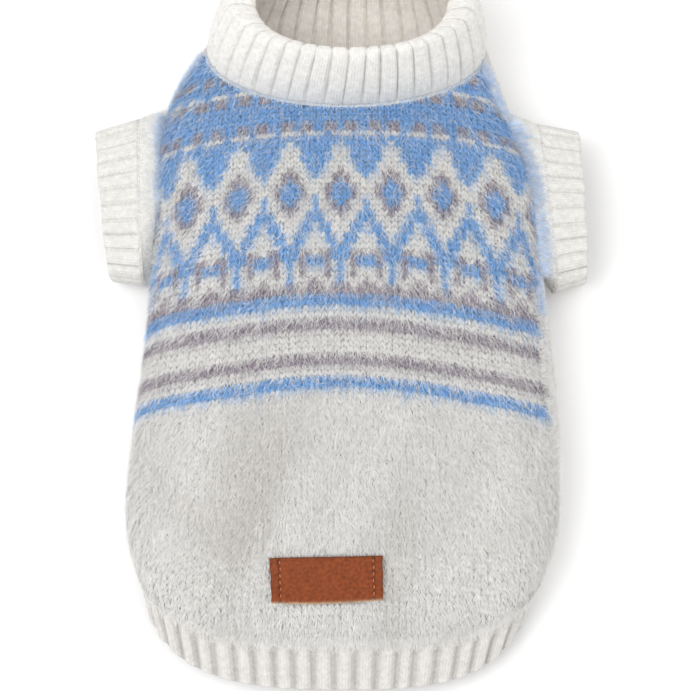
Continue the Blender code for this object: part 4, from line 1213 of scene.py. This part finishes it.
top = base + lift * (LABEL_LIFT + LABEL_THICK - rounding - groove + curl)[..., None]
below = base + lift * (LABEL_LIFT + rounding * 0.6 + curl)[..., None]
label = shell("leather_patch", top[::-1], below[::-1],
              np.stack((grid_u * LABEL_LENGTH, grid_v * LABEL_WIDTH), -1)[::-1])
leather = bpy.data.materials.new("brown leather")
leather.use_nodes = True
tree = leather.node_tree
place = add_node(tree, "TexCoord").outputs["Object"]
clouds = add_node(tree, "TexNoise", {"Vector": place, "Scale": 700.0, "Detail": 4.0}).outputs["Fac"]
tone = add_node(tree, "ValToRGB", {"Fac": clouds})
for stop, position, grey in zip(tone.color_ramp.elements, (0.3, 0.7), (0.52, 1.0)):
    stop.position = position
    stop.color = (grey, grey, grey, 1.0)
# The grain's tone times the points' colours, which carry painted shade in the holes and a painted highlight
# on the lower edge.
edge_tone = add_node(tree, "Attribute", attribute_name="yarn")
grain_and_painted_light = add_node(tree, "Mix", data_type="RGBA", blend_type="MULTIPLY", inputs={
    "Factor": 1.0, "A": tone.outputs["Color"], "B": edge_tone.outputs["Color"]})
pores = add_node(tree, "TexVoronoi", {"Vector": place, "Scale": 1300.0})
grain = add_node(tree, "Bump", {
    "Strength": 0.45, "Distance": 0.0002, "Height": pores.outputs["Distance"]})
gloss = add_node(tree, "MapRange", {"Value": clouds, "To Min": 0.42, "To Max": 0.62})
fill_sockets(tree, tree.nodes["Principled BSDF"], {
    "Base Color": grain_and_painted_light.outputs["Result"], "Roughness": gloss.outputs["Result"],
    "Specular IOR Level": 0.22, "Normal": grain.outputs["Normal"]})
label.data.materials.append(leather)
# Painted shade in the stitch holes along each thread line; the face is also darker towards its edges.
holes = np.exp(-((np.abs(across) - thread_line) / 0.6)**2)
hole_turn = (along + LABEL_WIDTH / 2 - THREAD_START) * np.pi / THREAD_PITCH
holes = holes * (0.30 + 0.62 * np.cos(hole_turn)**4)
low_edge = np.exp(-(((grid_v + 0.5) * LABEL_WIDTH) / 0.75)**2)[:, :, None]
face_shade = 1.12 * (1.0 - 0.25 * np.exp(-(edge_gap / 0.8)**2) - holes)[:, :, None]
colours = [LEATHER * shade * (1.0 - low_edge) + LIT_CUT_EDGE * low_edge for shade in (face_shade, 1.0)]
tint(label, np.concatenate([side[::-1].reshape(-1, 3) for side in colours]))
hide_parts("label")
run = np.linspace(0.0, 1.0, 9)
height = LABEL_LIFT + LABEL_THICK - 0.45 + 0.62 * np.sin(np.pi * run)**0.6
lines = []
for side in (-1.0, 1.0):
    for number in range(6):
        along = -LABEL_WIDTH / 2 + THREAD_START + 0.5 + number * THREAD_PITCH + run * (THREAD_PITCH - 1.0)
        across = side * thread_line + 0.25 * (run - 0.5) * side + 0.15 * math.sin(number * 2.0)
        lines.append(label_surface(across, along) + np.array([0.0, 0.0, 1.0]) * height[:, None])
lines = np.array(lines)
ahead = unit(np.gradient(lines, axis=1))
beside = unit(np.cross(ahead, (0.0, 0.0, 1.0)))
upward = np.cross(beside, ahead)
turn = (np.arange(8) * np.pi / 4)[:, None]
thick = THREAD_HALF * (0.6 + 0.4 * np.sin(np.pi * run))[:, None, None]
points = lines[:, :, None] + thick * (beside[:, :, None] * np.cos(turn) + upward[:, :, None] * np.sin(turn))
number = np.arange(points.size // 3).reshape(points.shape[:3])
beyond = np.roll(number, -1, axis=2)
quads = np.stack((number[:, :-1], beyond[:, :-1], beyond[:, 1:], number[:, 1:]), -1)
thread = place_mesh("patch_thread", points, quads)
thread.data.materials.append(yarn_material("patch thread", sheen=0.0, fibre=0.4, colour=THREAD_AND_GLINT))

# ---- Floor, light and camera ----------------------------------------------------------------------
# A pale floor under soft studio light from the upper left, seen from above the hem.
PHOTO_PIXELS, FOCAL_PIXELS, SENSOR = 691.0, 2000.0, 36.0
CAMERA_RISE, CAMERA_DISTANCE = math.radians(75.0), 0.9
CAMERA_AIM = (0.003, -0.0227, 0.035)
# Lamps: place, size in metres and power in watts.
LAMPS = (("key", (-0.58, -0.24, 1.20), 0.9, 8.8), ("fill", (0.70, -0.10, 1.2), 1.4, 4.0))

bpy.ops.mesh.primitive_plane_add(size=6.0, location=(0.0, 0.0, 0.0))
floor = bpy.context.object
floor.name = "floor"
floor_paint = bpy.data.materials.new("pale floor")
floor_paint.use_nodes = True
fill_sockets(floor_paint.node_tree, floor_paint.node_tree.nodes["Principled BSDF"], {
    "Base Color": (0.96, 0.96, 0.96, 1.0), "Roughness": 0.8})
floor.data.materials.append(floor_paint)

world = bpy.data.worlds.new("studio")
bpy.context.scene.world = world
world.use_nodes = True
fill_sockets(world.node_tree, world.node_tree.nodes["Background"], {
    "Color": (1.0, 0.995, 0.985, 1.0), "Strength": 0.80})
for name, place, size, power in LAMPS:
    light = bpy.data.lights.new(name, "AREA")
    light.size = size
    light.energy = power
    lamp = bpy.data.objects.new(name, light)
    bpy.context.scene.collection.objects.link(lamp)
    lamp.location = place
    aim = np.array([0.0, 0.0, 0.03]) - np.array(place)
    pitch = math.acos(-aim[2] / np.linalg.norm(aim))
    lamp.rotation_euler = (pitch, 0.0, math.atan2(aim[1], aim[0]) - math.pi / 2)

lens = bpy.data.cameras.new("camera")
lens.sensor_width = SENSOR
lens.lens = FOCAL_PIXELS / PHOTO_PIXELS * SENSOR
camera = bpy.data.objects.new("camera", lens)
bpy.context.scene.collection.objects.link(camera)
camera.location = (CAMERA_AIM[0], CAMERA_AIM[1] - CAMERA_DISTANCE * math.cos(CAMERA_RISE),
                   CAMERA_AIM[2] + CAMERA_DISTANCE * math.sin(CAMERA_RISE))
camera.rotation_euler = (math.pi / 2 - CAMERA_RISE, 0.0, 0.0)
bpy.context.scene.camera = camera
bpy.context.scene.view_settings.view_transform = "Standard"
